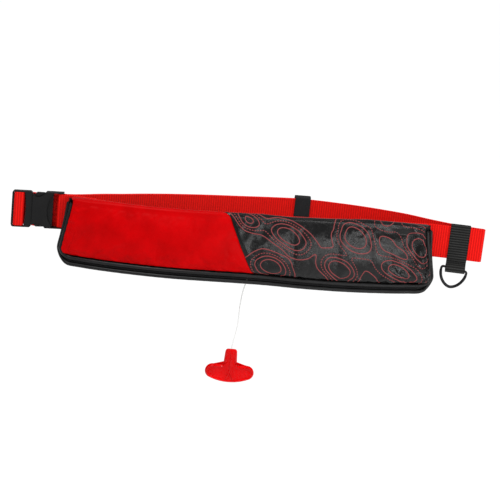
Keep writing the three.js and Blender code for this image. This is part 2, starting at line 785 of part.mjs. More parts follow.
function buckleFemale() {
  const start = maleEnd + clear;
  const face = new THREE.Shape();
  face.moveTo(start, -halfHigh + 2.5);
  face.quadraticCurveTo(start + 6.5, -halfHigh + 10, mouthEnd - 3.5, -halfHigh + 0.5);
  face.lineTo(mouthEnd + 1, -halfHigh);
  face.lineTo(mouthEnd + 5, -halfHigh);
  face.quadraticCurveTo(mouthEnd - plateBite, 0, mouthEnd + 5, halfHigh);
  face.lineTo(mouthEnd + 1, halfHigh);
  face.lineTo(mouthEnd - 3.5, halfHigh - 0.5);
  face.quadraticCurveTo(start + 6.5, halfHigh - 10, start, halfHigh - 2.5);
  face.closePath();
  const outside = buckleThick / 2;
  const plates = [slab(face, outside - plateWall, outside), slab(face, -outside, plateWall - outside)];
  const rails = [-1, 1].map((side) => {
    const rail = roundedRect(
      new THREE.Shape(),
      mouthEnd - 3.5,
      Math.min(side * frameInner, side * halfHigh),
      buckleLength,
      Math.max(side * frameInner, side * halfHigh),
      0.4 * railWide,
    );
    return slab(rail, 0.2 - outside, outside - 0.2);
  });
  const bar = new THREE.CylinderGeometry(webBar / 2, webBar / 2, 2 * frameInner + 1, 12);
  bar.translate(buckleLength - railWide - webBar / 2, 0, 0);
  const between = buckleThick - 2 * plateWall;
  const floor = box(mouthEnd - 1, -frameInner - 0.5, mouthEnd + floorDeep, frameInner + 0.5, between);
  const step = box(mouthEnd - 5, -9, mouthEnd, 9, between);
  return join([...plates, ...rails, bar, floor, step]);
}

// Pull handle: a stem and a wide lens-shaped grip, drawn below the cord's end
function handleHalf() {
  const stem = stemWidth / 2;
  const span = handleSpan / 2;
  const grip = -stemHeight;
  const middle = new THREE.Vector2(span - gripRadius, grip - gripRadius);
  const bow = (a, b, c) => new THREE.QuadraticBezierCurve(a, b, c).getPoints(6);
  const at = (x, y) => new THREE.Vector2(x, y);
  const end = arc(middle.x, middle.y, gripRadius, 90, -60, 8);
  return [
    at(0, 0),
    ...bow(at(stem - 4.5, 0), at(stem - 1, 0), at(stem - 0.8, -4)),
    ...bow(at(stem, grip + 2.5), at(stem, grip), at(stem + 2.5, grip)),
    ...end,
    ...bow(end[end.length - 1], at(0.45 * span, -handleHeight), at(0, -handleHeight)),
  ];
}

function pullHandle() {
  const right = handleHalf();
  const left = right.slice(1, -1).reverse();
  const outline = [...right, ...left.map((p) => new THREE.Vector2(-p.x, p.y))];
  const apart = outline.filter((p, i) => i === 0 || p.distanceTo(outline[i - 1]) > 0.05);
  const shape = new THREE.Shape(apart);
  const geometry = new THREE.ExtrudeGeometry(shape, {
    depth: handleThick - 2 * handleRound,
    bevelThickness: handleRound,
    bevelSize: handleRound,
    bevelOffset: -handleRound,
    bevelSegments: 3,
    curveSegments: 8,
  });
  return geometry.translate(0, 0, handleRound - handleThick / 2);
}

function pullCord() {
  const points = CORD_ROUTE.map((p) => new THREE.Vector3(p.x, p.y, p.z));
  return tubeAlong(points, cordDiameter / 2, 7, 26);
}

const black = material(BLACK, 0.7);
const plastic = material(BLACK, 0.4);
const red = material(RED, 0.6);
const webbing = material(WEB_RED, 0.8);

const pack = new THREE.Group();

function add(name, geometry, look, group = pack) {
  const mesh = new THREE.Mesh(geometry, look);
  mesh.name = name;
  group.add(mesh);
  return mesh;
}

add("front_panel_red", redPanel(), red);
add("front_panel_black", blackPanel(), black);
add("back_panel", backPanel(), black);
add("gusset", gusset(), black);
const zipAcross = 2 * outerRoll + 1.5 * clear + zipRadius;
const innerAcross = 2 * outerRoll + 3 * clear + 2 * zipRadius + innerRoll;
add("zip_roll_outer", alongBand(outerRoll, outerRoll, 7), black);
add("zip", alongBand(zipAcross, zipRadius, 6, -zipSink), black);
add("zip_roll_inner", alongBand(innerAcross, innerRoll, 7), black);
add("belt_sleeve", beltSleeve(), black);
add("belt", belt(), webbing);

const seated = (geometry) => settleLeft(geometry.rotateX(Math.PI / 2).translate(buckleLeft, buckleY, 0));
add("buckle_male", seated(buckleMale()), plastic);
add("buckle_female", seated(buckleFemale()), plastic);

add("keeper", keeper(), black);
add("d_ring_loop", ringLoop(), black);

const seat = ringSeat();
const ring = new THREE.Group();
ring.position.set(seat.at.x - ringSlide, seat.at.y, ringBarZ);
ring.rotation.order = "ZYX";
ring.rotation.z = Math.atan2(seat.away.x, -seat.away.y);
ring.rotation.y = THREE.MathUtils.degToRad(ringTilt);
pack.add(ring);
add("d_ring", dRing(), plastic, ring);

add("pull_cord", pullCord(), material(0xf0f0ee, 0.8));

const cordEnd = CORD_ROUTE[CORD_ROUTE.length - 1];
const handle = new THREE.Group();
handle.position.set(cordEnd.x, cordEnd.y, cordEnd.z - clear);
handle.rotation.x = Math.PI / 2;
pack.add(handle);
add("pull_handle", pullHandle(), material(RED, 0.3), handle);

export default pack;
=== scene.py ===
"""A slim belt pack on its webbing belt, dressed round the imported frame."""

import json
import math

import bpy
import numpy as np
from mathutils import Matrix


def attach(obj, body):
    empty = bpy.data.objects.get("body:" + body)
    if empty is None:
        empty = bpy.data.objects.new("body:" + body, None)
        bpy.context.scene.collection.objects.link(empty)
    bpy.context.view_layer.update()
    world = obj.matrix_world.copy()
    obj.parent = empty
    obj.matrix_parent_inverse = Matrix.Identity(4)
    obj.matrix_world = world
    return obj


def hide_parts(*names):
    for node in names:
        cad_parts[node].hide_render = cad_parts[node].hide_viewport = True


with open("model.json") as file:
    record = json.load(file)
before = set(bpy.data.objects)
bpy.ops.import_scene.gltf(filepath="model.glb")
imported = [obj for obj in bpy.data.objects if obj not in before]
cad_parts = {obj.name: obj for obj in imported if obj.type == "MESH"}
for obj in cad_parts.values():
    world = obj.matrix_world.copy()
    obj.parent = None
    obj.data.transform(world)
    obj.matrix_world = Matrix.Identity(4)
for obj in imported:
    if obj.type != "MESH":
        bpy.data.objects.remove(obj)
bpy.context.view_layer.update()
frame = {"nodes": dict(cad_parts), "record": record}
MM = 0.001
PACK, RING = "pack", "ring"

# Camera, fitted to the pouch's and the belt's edges
CAMERA_AT = (-0.1207, -1.5429, 0.3661)
CAMERA_RIGHT = (0.99342, -0.05367, 0.10120)
CAMERA_UP = (-0.08422, 0.25658, 0.96284)
CAMERA_BACK = (-0.07765, -0.96503, 0.25038)


def add(name, data):
    """A new object in the scene."""
    o = bpy.data.objects.new(name, data)
    bpy.context.collection.objects.link(o)
    return o


def facing(at, right, up, back):
    """The matrix of a camera or lamp at a place, with its own axes."""
    return Matrix.Translation(at) @ Matrix((right, up, back)).transposed().to_4x4()


def make_camera():
    data = bpy.data.cameras.new("camera")
    data.lens = 100
    data.sensor_width = 36
    data.clip_end = 80
    camera = add("camera", data)
    camera.matrix_world = facing(CAMERA_AT, CAMERA_RIGHT, CAMERA_UP, CAMERA_BACK)
    bpy.context.scene.camera = camera


# Named sizes of the frame: lengths in millimetres, the band's leans in radians, the ring's tilt in degrees
clear = 0.35
beltWidth, beltThick, layerGap = 38, 1.8, 0.4
frontInset, frontBow, backBow = 17, 37, 61
rightLead, rightLeadDrop, bendRadius = 58.5, 8.4, 3
sewnOverlap, tailReach = 36, 80
packLength, packTop, packDrop, packDepth, packFlare = 410, 20.5, 58, 24, 7.5
cornerRadius, shoulderDrop, shoulderDip, faceCrown = 20, 3.5, 4.5, 3
clothWall, backWall = 1.2, 1
seamTop, seamLow = -41, 1.4
outerRoll, innerRoll, zipRadius, zipSink = 2.2, 2.3, 0.7, 0.8
sideDepthTop, sideDepthLow = 7, 12
bandLeanSide, bandLeanTop, bandLeanLow = 1.0, 0.7, -0.1
sleeveLength, sleeveCentre, sleeveWall, sleeveHem = 330, 15, 1, 4
buckleLength, buckleLead, buckleThick = 57, 6, 8.4
railWide, outerBar, centreBar, barThick = 1.2, 2.2, 6.6, 3
outerSlot, webBar, foldRadius = 2.8, 3.5, 1.3
leftSlope, slopeStart, backSag, sagRamp, sagEnd = 0.036, 10, 1.8, 10, 50
keeperAt, keeperWidth, keeperWall, keeperSlack = 65, 18.5, 1.6, 2
ringLead, tabWidth, tabThick, tabSewn = 34, 22.5, 1.5, 3.8
ringInner, ringDepth, ringWire, ringCorner, ringPoint = 26.5, 22, 2.8, 2.2, 1.15
ringTilt, barBelow = 8, 11.5
cordDiameter = 1.5
handleThick, handleSpan, handleHeight = 7, 55.5, 40
stemWidth, stemHeight, gripRadius = 15.2, 18.8, 8.6  # the frame's are 13.6, 19.5 and 8
bowExtra, bowRamp = 0.3, 5  # the ring's bow is this much thicker in radius than the frame's
halfPack = packLength / 2
loopHalf = halfPack + rightLead
bandStart = 0.014
faceShare, cornerT = 0.7, 0.24  # the face's share of a panel's height, and the rim's share at a lower corner
halfBelt = beltThick / 2
layer = beltThick + layerGap
bandWide = 2 * outerRoll + 2 * innerRoll + 2 * zipRadius + 3 * clear
backFace = halfBelt + clear
borderAcross = bandWide + 3 * clear + clothWall / 2
seamOut = backFace + backWall + clear + clothWall / 2

# The cord's points, the same as the frame's
CORD_ROUTE = [
    (-1.2, -62, -47), (-1.5, -62, -51), (-2.0, -62, -55.3), (-3.0, -62, -59.5),
    (-4.1, -62, -64.5), (-5.0, -62, -70.5), (-5.7, -62, -77.5), (-6.1, -62, -84),
    (-6.2, -62, -90.5), (-6.2, -62, -97), (-6.4, -62, -103.5), (-6.9, -62, -110),
    (-7.9, -62, -116.5), (-9.0, -62, -122.5), (-10.0, -62, -129), (-10.5, -62, -134),
]

# Front run: share of half the pouch's length, share of the front bow
FRONT_LINE = np.array([
    (-1.2, 0.35), (-1.0, 0.36), (-0.82, 0.66), (-0.68, 0.83), (-0.51, 0.96), (-0.34, 1.0),
    (-0.15, 0.93), (0.22, 0.64), (0.47, 0.41), (0.65, 0.24), (0.85, 0.08), (1.0, 0.0),
])
# Back run, right to left: share of the loop's half span, share of the back bow
BACK_LINE = [
    (0.94, -0.24), (0.892, -0.143), (0.794, 0.107), (0.698, 0.4), (0.6, 0.59), (0.496, 0.745),
    (0.392, 0.845), (0.31, 0.905), (0.24, 0.915), (0.174, 0.865), (0.064, 0.766), (-0.042, 0.655),
    (-0.151, 0.55), (-0.257, 0.43), (-0.362, 0.29), (-0.464, 0.125), (-0.566, -0.07),
    (-0.666, -0.22), (-0.732, -0.3),
]
# Lower edge: share of half the pouch's length, then the share of its drop or of its depth
EDGE_DROP = np.array([
    (-1.0, 0.97), (-0.8, 0.95), (-0.5, 0.935), (-0.2, 0.93), (0.05, 0.95), (0.3, 1.0),
    (0.55, 1.03), (0.8, 1.03), (1.0, 1.01),
])
EDGE_DEEP = np.array([
    (-1.0, 0.8), (-0.8, 0.94), (-0.5, 1.0), (-0.2, 1.0), (0.05, 1.0), (0.3, 1.0),
    (0.55, 1.0), (0.8, 0.95), (1.0, 0.82),
])


# Shapes of the frame, over arrays
def table_at(rows, at):
    x, y = rows[:, 0], rows[:, 1]
    last = len(x) - 1
    before = np.maximum(np.arange(last + 1) - 1, 0)
    after = np.minimum(np.arange(last + 1) + 1, last)
    slope = (y[after] - y[before]) / (x[after] - x[before])
    row = np.clip(np.searchsorted(x, at) - 1, 0, last - 1)
    span = x[row + 1] - x[row]
    t = np.clip((at - x[row]) / span, 0, 1)
    rise = t * t * (3 - 2 * t)
    bend = t * (1 - t) * span
    return y[row] + (y[row + 1] - y[row]) * rise + bend * ((1 - t) * slope[row] - t * slope[row + 1])


def mix(a, b, t):
    return a + (b - a) * t


def smooth(x):
    x = np.clip(x, 0, 1)
    return x * x * (3 - 2 * x)


def front_y(s):
    return -(frontInset + frontBow * table_at(FRONT_LINE, np.asarray(s) / halfPack))


def place(s, out, z):
    s, out, z = np.broadcast_arrays(np.asarray(s, float), np.asarray(out, float), np.asarray(z, float))
    slope = (front_y(s + 1) - front_y(s - 1)) / 2
    size = np.hypot(slope, 1)
    return np.stack([s + out * slope / size, front_y(s) - out / size, z], -1)


def bottom_z(s):
    return -packDrop * table_at(EDGE_DROP, s / halfPack)


def rim(t):
    t = np.asarray(t, float)
    side = np.where(t < 0.5, -1.0, 1.0)
    way = np.where(t < 0.5, t, 1 - t)
    corner_s = side * (halfPack + packFlare - cornerRadius)
    corner_z = bottom_z(corner_s) + cornerRadius
    down = np.clip(way / 0.2, 0, 1)
    angle = np.clip((way - 0.2) / 0.08, 0, 1) * math.pi / 2
    low_s = mix(0, corner_s, np.clip((0.5 - way) / 0.22, 0, 1))
    on_side, on_corner = way < 0.2, way < 0.28
    side_s = side * (halfPack + packFlare * down**1.5)
    side_z = mix(packTop - shoulderDrop, corner_z, down)
    s = np.where(on_side, side_s, corner_s + side * cornerRadius * np.cos(angle))
    z = np.where(on_side, side_z, corner_z - cornerRadius * np.sin(angle))
    s = np.where(on_corner, s, low_s)
    z = np.where(on_corner, z, bottom_z(low_s))
    in_s = np.where(on_side, -side, -side * np.cos(angle))
    in_s = np.where(on_corner, in_s, 0)
    in_z = np.where(on_side, 0, np.sin(angle))
    in_z = np.where(on_corner, in_z, 1)
    turn = np.where(on_corner, 1 - smooth(angle / (math.pi / 2)), 0)
    return s, z, in_s, in_z, turn, down


def band_point(t, across, lift=0.0):
    s, z, in_s, in_z, turn, down = rim(t)
    lean = mix(bandLeanLow, mix(bandLeanTop, bandLeanSide, down), turn)
    low = packDepth * table_at(EDGE_DEEP, s / halfPack)
    deep = mix(low, mix(sideDepthTop, sideDepthLow, down), turn)
    inset = across * np.cos(lean) - lift * np.sin(lean)
    out = deep + across * np.sin(lean) + lift * np.cos(lean)
    return np.stack([s + in_s * inset, out, z + in_z * inset], -1)


def band_line(across, lift=0.0, steps=56):
    t = mix(bandStart, 1 - bandStart, np.linspace(0, 1, steps + 1))
    p = band_point(t, across, lift)
    return place(p[:, 0], p[:, 1], p[:, 2])


def face_point(u, v):
    u, v = np.broadcast_arrays(np.asarray(u, float), np.asarray(v, float))
    one = lambda a: np.asarray(a)[..., None]
    left = lambda q: band_point(mix(cornerT, 0, q), borderAcross)
    right = lambda q: band_point(mix(1 - cornerT, 1, q), borderAcross)
    low = band_point(mix(cornerT, 1 - cornerT, u), borderAcross)
    ones, zeros = np.ones_like(u), np.zeros_like(u)
    top = mix(left(ones), right(ones), one(u))
    swell = np.sqrt(np.clip(np.sin(math.pi * u), 0, 1))
    top[..., 1] -= shoulderDip * swell
    sides = mix(left(v), right(v), one(u))
    ends = mix(low, top, one(v))
    corners = mix(mix(left(zeros), right(zeros), one(u)), mix(left(ones), right(ones), one(u)), one(v))
    face = sides + ends - corners
    face[..., 1] += faceCrown * swell * np.sin(math.pi * v)
    return face


def ridge_point(u, q):
    start = face_point(u, np.ones_like(u))
    angle = math.pi * q
    end = np.abs(2 * u - 1)
    rise = shoulderDrop * (1 - 0.75 * end**8)
    reach = end**8 * q * np.sign(2 * u - 1) * (halfPack - 1 - np.abs(start[..., 0]))
    out = mix(start[..., 1], seamOut, (1 - np.cos(angle)) / 2)
    return np.stack([start[..., 0] + reach, out, start[..., 2] + rise * np.sin(angle)], -1)


def panel_point(u, v):
    u, v = np.broadcast_arrays(np.asarray(u, float), np.asarray(v, float))
    on_face = (v < faceShare)[..., None]
    face = face_point(u, np.clip(v / faceShare, 0, 1))
    return np.where(on_face, face, ridge_point(u, np.clip((v - faceShare) / (1 - faceShare), 0, 1)))


def seam_share(v):
    left = face_point(0.0, 0.5)[0]
    right = face_point(1.0, 0.5)[0]
    return (mix(seamLow, seamTop, v) - left) / (right - left)


# Lines
def unit(a):
    return a / np.maximum(np.linalg.norm(a, axis=-1, keepdims=True), 1e-9)


def catmull(points, per=14):
    """Centripetal curve through the points."""
    p = np.asarray(points, float)
    p = np.vstack([2 * p[0] - p[1], p, 2 * p[-1] - p[-2]])
    rows = []
    for a, b, c, d in zip(p, p[1:], p[2:], p[3:]):
        ab, bc, cd = (max(np.linalg.norm(y - x), 1e-6) ** 0.5 for x, y in ((a, b), (b, c), (c, d)))
        m = bc * ((b - a) / ab - (c - a) / (ab + bc) + (c - b) / bc)
        n = bc * ((c - b) / bc - (d - b) / (bc + cd) + (d - c) / cd)
        for t in np.linspace(0, 1, per, endpoint=False):
            rows.append(b + m * t + (-3 * b + 3 * c - 2 * m - n) * t**2 + (2 * b - 2 * c + m + n) * t**3)
    rows.append(p[-2])
    return np.array(rows)


def lengths(p):
    return np.r_[0, np.cumsum(np.linalg.norm(np.diff(p, axis=0), axis=1))]


def resample(points, step=None, count=None):
    p = np.asarray(points, float)
    far = lengths(p)
    count = count or max(int(round(far[-1] / step)), 2)
    at = np.linspace(0, far[-1], count + 1)
    return np.stack([np.interp(at, far, p[:, k]) for k in range(p.shape[1])], 1), far[-1]


def arc(x, y, radius, start, end, steps):
    a = np.radians(np.linspace(start, end, steps + 1))
    return np.stack([x + radius * np.cos(a), y + radius * np.sin(a)], 1)


def turns(count):
    """Angles evenly round a circle."""
    return np.linspace(0, 2 * math.pi, count, endpoint=False)


def tangents(line, closed=False):
    if closed:
        return unit(np.roll(line, -1, 0) - np.roll(line, 1, 0))
    return unit(np.gradient(line, axis=0))


# The belt's own line, as the frame has it
buckleRight = -(halfPack + buckleLead)
buckleLeft = buckleRight - buckleLength
barMiddle = buckleRight - railWide - webBar / 2
wrapRadius = webBar / 2 + clear + halfBelt
buckleY = float(front_y(buckleRight)) + wrapRadius
loadY = buckleY + buckleThick / 2 + layerGap + halfBelt
foldSnug = 0.5  # the outer fold lies this much closer to its bar than the frame's, as in the photo
slotOuter = buckleLeft + outerBar + outerSlot - clear - halfBelt - foldSnug
slotInner = buckleLeft + outerBar + outerSlot + centreBar + clear + halfBelt
overBar = buckleY - (barThick / 2 + clear + halfBelt)


def right_lead_y(t):
    return float(front_y(halfPack)) - rightLeadDrop * t**1.3


def back_run():
    rows = [(a * loopHalf, o * backBow) for a, o in BACK_LINE]
    start = [(loopHalf, right_lead_y(1) + 2 * bendRadius)]
    flat = [(buckleRight + d, loadY) for d in (2, -15, -30)]
    return resample(catmull(start + rows + flat), count=64)[0]


def offset_line(line, by):
    along = unit(np.vstack([line[1:2] - line[:1], line[2:] - line[:-2], line[-1:] - line[-2:-1]]))
    return line + by * np.stack([along[:, 1], -along[:, 0]], 1)


def belt_line():
    s = np.linspace(-halfPack - 1, halfPack, 41)
    front = np.stack([s, front_y(s)], 1)
    sewn = (front[s < sewnOverlap - halfPack] + (0, layer))[::-1]
    wrap = arc(barMiddle, buckleY, wrapRadius, 80, 270, 10)
    lead = [(mix(halfPack, loopHalf, t), right_lead_y(t)) for t in (0.25, 0.5, 0.75)]
    bend = arc(loopHalf, right_lead_y(1) + bendRadius, bendRadius, -90, 60, 8)
    back = back_run()
    tail = offset_line(back, layer)
    tail = tail[(tail[:, 0] < tailReach) & (tail[:, 0] > slotInner)][::-1]
    weave = np.vstack([
        arc(slotInner + foldRadius, loadY - foldRadius, foldRadius, 90, 180, 4),
        arc(slotInner - foldRadius, overBar + foldRadius, foldRadius, 0, -90, 4),
        arc(slotOuter + foldRadius, overBar + foldRadius, foldRadius, -90, -180, 4),
        arc(slotOuter + foldRadius, loadY + layer - foldRadius, foldRadius, 180, 90, 4),
    ])
    run = back[(back[:, 0] > slotInner + 2 * foldRadius) & (back[:, 0] < loopHalf - 1)]
    return np.vstack([sewn, wrap, front, lead, bend, run, weave, tail])


def settle(line):
    """How far the left end has sunk at each point of a line, and more behind the buckle."""
    x, y = line[:, 0], line[:, 1]
    reach = np.maximum(0, -halfPack - x)
    fall = np.where(reach < slopeStart, reach**2 / (2 * slopeStart), reach - slopeStart / 2)
    behind = y > buckleY + buckleThick / 2 + layerGap / 2
    begin = smooth((x - slotInner - beltThick) / sagRamp)
    end = 1 - smooth((x - buckleRight) / sagEnd)
    return -leftSlope * fall - backSag * behind * begin * end


# Mesh builders: points in millimetres in, pieces in metres out
def piece(name, points, faces, look, node=None, body=PACK, uv=None):
    mesh = bpy.data.meshes.new(name)
    mesh.from_pydata((np.asarray(points) * MM).tolist(), [], [list(map(int, f)) for f in faces])
    if uv is not None:
        chart = mesh.uv_layers.new(name="mm")
        at = np.empty(len(mesh.loops), int)
        mesh.loops.foreach_get("vertex_index", at)
        chart.data.foreach_set("uv", np.asarray(uv, float)[at].ravel())
    mesh.materials.append(look)
    mesh.polygons.foreach_set("use_smooth", [True] * len(mesh.polygons))
    mesh.update()
    o = add(name, mesh)
    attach(o, body)
    if node:
        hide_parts(node)
    return o


def grid_faces(rows, columns, wrap_rows=False, wrap_columns=False):
    i = np.arange(rows if wrap_rows else rows - 1)
    j = np.arange(columns if wrap_columns else columns - 1)
    i, j = np.meshgrid(i, j, indexing="ij")
    n, m = (i + 1) % rows, (j + 1) % columns
    return np.stack([i * columns + j, n * columns + j, n * columns + m, i * columns + m], -1).reshape(-1, 4)


def bar_faces(rows, columns, closed=False):
    """Faces round a bar, with its two ends unless it is a closed loop."""
    faces = grid_faces(rows, columns, wrap_rows=closed, wrap_columns=True).tolist()
    if closed:
        return faces
    return faces + [list(range(columns))[::-1], list(range((rows - 1) * columns, rows * columns))]


def outward_faces(points, faces):
    """The faces turned so that the closed body's volume is positive."""
    p = np.asarray(points)
    fans = np.array([(f[0], f[k], f[k + 1]) for f in faces for k in range(1, len(f) - 1)])
    a, b, c = (p[fans[:, k]] for k in range(3))
    volume = (a * np.cross(b, c)).sum()
    return [f[::-1] for f in faces] if volume < 0 else faces


def noise(x, y, seed=0):
    table = np.random.default_rng(seed).uniform(-1, 1, (64, 64))
    xi, yi = np.floor(x).astype(int), np.floor(y).astype(int)
    fx, fy = smooth(x - xi), smooth(y - yi)
    pick = lambda i, j: table[i % 64, j % 64]
    low = mix(pick(xi, yi), pick(xi + 1, yi), fx)
    return mix(low, mix(pick(xi, yi + 1), pick(xi + 1, yi + 1), fx), fy)


def grid_normals(p, away):
    """Normals of a grid of points, on the side that looks along away."""
    normal = unit(np.cross(np.gradient(p, axis=0), np.gradient(p, axis=1)))
    return -normal if (normal.reshape(-1, 3) @ np.asarray(away, float)).mean() < 0 else normal


def grid_lengths(p):
    """Lengths along a grid's middle column and middle row, over the whole grid."""
    along, across = lengths(p[:, p.shape[1] // 2]), lengths(p[p.shape[0] // 2])
    return np.broadcast_arrays(along[:, None], across[None, :])


def sheet_mesh(name, p, wall, look, node, away):
    """A cloth wall over a grid of points. away is a direction that its outer face looks to."""
    normal = grid_normals(p, away)
    rows, columns = p.shape[:2]
    uv = np.stack(grid_lengths(p), -1).reshape(-1, 2)
    outer, inner = p + normal * wall / 2, p - normal * wall / 2
    n = rows * columns
    faces = np.vstack([grid_faces(rows, columns), n + grid_faces(rows, columns)[:, ::-1]]).tolist()
    index = np.arange(n).reshape(rows, columns)
    loop = np.r_[index[:, 0], index[-1, 1:], index[-2::-1, -1], index[0, -2:0:-1]]
    after = np.roll(loop, -1)
    faces += np.stack([loop, n + loop, n + after, after], 1)[:, ::-1].tolist()
    points = np.vstack([outer.reshape(-1, 3), inner.reshape(-1, 3)])
    o = piece(name, points, outward_faces(points, faces), look, node, uv=np.vstack([uv, uv]))
    crease(o)
    return o


def crease(o, degrees=50):
    """Edges sharper than this are shaded sharp."""
    o.data.set_sharp_from_angle(angle=math.radians(degrees))


def side_and_normal(line):
    """Two directions across a line, turned as little as it goes."""
    t = tangents(line)
    normal = np.empty_like(t)
    n = np.array([0.0, 0.0, 1.0])
    for i, d in enumerate(t):
        n = n - d * (n @ d)
        n = n / max(np.linalg.norm(n), 1e-9)
        normal[i] = n
    return np.cross(t, normal), normal


def tube_mesh(name, line, radius, sides, look, node, swell):
    """A closed round body along a line, its radius times swell at each point."""
    side, normal = side_and_normal(line)
    a = turns(sides)
    r = radius * swell(len(line), sides)
    ends = np.minimum(np.arange(len(line)), np.arange(len(line))[::-1])
    r = r * np.where(ends == 0, 0.55, np.where(ends == 1, 0.86, 1.0))[:, None]
    ring = side[:, None] * np.cos(a)[None, :, None] + normal[:, None] * np.sin(a)[None, :, None]
    p = line[:, None] + ring * r[..., None]
    uv = np.stack([np.repeat(lengths(line), sides), np.tile(a * radius, len(line))], 1)
    points = p.reshape(-1, 3)
    piece(name, points, outward_faces(points, bar_faces(len(line), sides)), look, node, uv=uv)


# Webbing: half of its cross-section, as shares of the half width and the half thickness
SELVEDGE = [(1.0, 0.3), (0.988, 0.78), (0.955, 1.0), (0.915, 0.86), (0.87, 1.0), (0.45, 1.0)]


def strap(name, line, side, width, thick, look, node, rib=2.7, rise=0.14, closed=False, step=0.6):
    if closed:
        line = np.vstack([line, line[:1]])
    line, total = resample(line, step)
    if closed:
        line = line[:-1]
    t = tangents(line, closed)
    side = np.broadcast_to(np.asarray(side, float), line.shape)
    normal = unit(np.cross(side, t))
    shares = SELVEDGE + [(0.0, 1.0)] + [(-a, b) for a, b in SELVEDGE[::-1]]
    across = np.array([a for a, _ in shares])
    heavy = np.array([b for _, b in shares])
    far = np.linspace(0, total, len(line), endpoint=not closed)
    groove = rise * (0.5 - 0.5 * np.cos(2 * math.pi * far / rib))[:, None] * (np.abs(across) < 0.95)
    half = thick / 2 * heavy[None, :] - groove
    z = (width / 2 * across)[None, :, None] * side[:, None]
    top = line[:, None] + z + normal[:, None] * half[..., None]
    low = (line[:, None] + z - normal[:, None] * half[..., None])[:, ::-1]
    p = np.concatenate([top, low], 1)
    rows, columns = p.shape[:2]
    uv = np.stack([np.repeat(far, columns), np.tile(np.r_[across, across[::-1]] * width / 2, rows)], 1)
    points = p.reshape(-1, 3)
    faces = outward_faces(points, bar_faces(rows, columns, closed))
    crease(piece(name, points, faces, look, node, uv=uv))


def bead(sides=6, rings=3):
    """A small long bead, one unit long and thick, along X."""
    points, faces = [(-0.5, 0, 0)], []
    for i in range(rings):
        x = -0.5 + (i + 0.5) / rings
        r = 0.5 * math.sqrt(max(1 - (1.7 * x) ** 2, 0.05))
        points += [(x, r * math.cos(a), r * math.sin(a)) for a in turns(sides)]
    points.append((0.5, 0, 0))
    last = len(points) - 1
    for k in range(sides):
        n = (k + 1) % sides
        faces.append((0, 1 + n, 1 + k))
        for i in range(rings - 1):
            a, b = 1 + i * sides, 1 + (i + 1) * sides
            faces.append((a + k, a + n, b + n))
            faces.append((a + k, b + n, b + k))
        faces.append((last, last - sides + k, last - sides + n))
    return np.array(points), np.array(faces)


def beads(name, groups, look):
    """Copies of a bead joined as one piece. A group is (places, along, side, normal, size)."""
    shape, faces = bead()
    points, all_faces, start = [], [], 0
    for at, along, side, normal, size in groups:
        axes = np.stack([along, side, normal], 1) * np.asarray(size, float)[None, :, None]
        p = at[:, None] + np.einsum("pk,nkd->npd", shape, axes)
        f = faces[None] + (np.arange(len(at)) * len(shape))[:, None, None] + start
        start += p.shape[0] * p.shape[1]
        points.append(p.reshape(-1, 3))
        all_faces.append(f.reshape(-1, 3))
    piece(name, np.vstack(points), np.vstack(all_faces), look)


def stitch_row(line, normal, pitch, thread=0.5, share=0.72, sink=0.1):
    """Places of the stitches along a line on a surface whose outward direction is normal."""
    line = np.asarray(line, float)
    far = lengths(line)
    count = max(int(far[-1] / pitch), 1)
    at = (np.arange(count) + 0.5) * far[-1] / count
    take = lambda a: np.stack([np.interp(at, far, a[:, k]) for k in range(3)], 1)
    normal = np.broadcast_to(np.asarray(normal, float), line.shape)
    along, up = unit(take(tangents(line))), take(normal)
    up = unit(up - along * (up * along).sum(1, keepdims=True))
    place_at = take(line) + up * (thread / 2 - sink)
    return place_at, along, np.cross(up, along), up, (pitch * share, thread, thread)


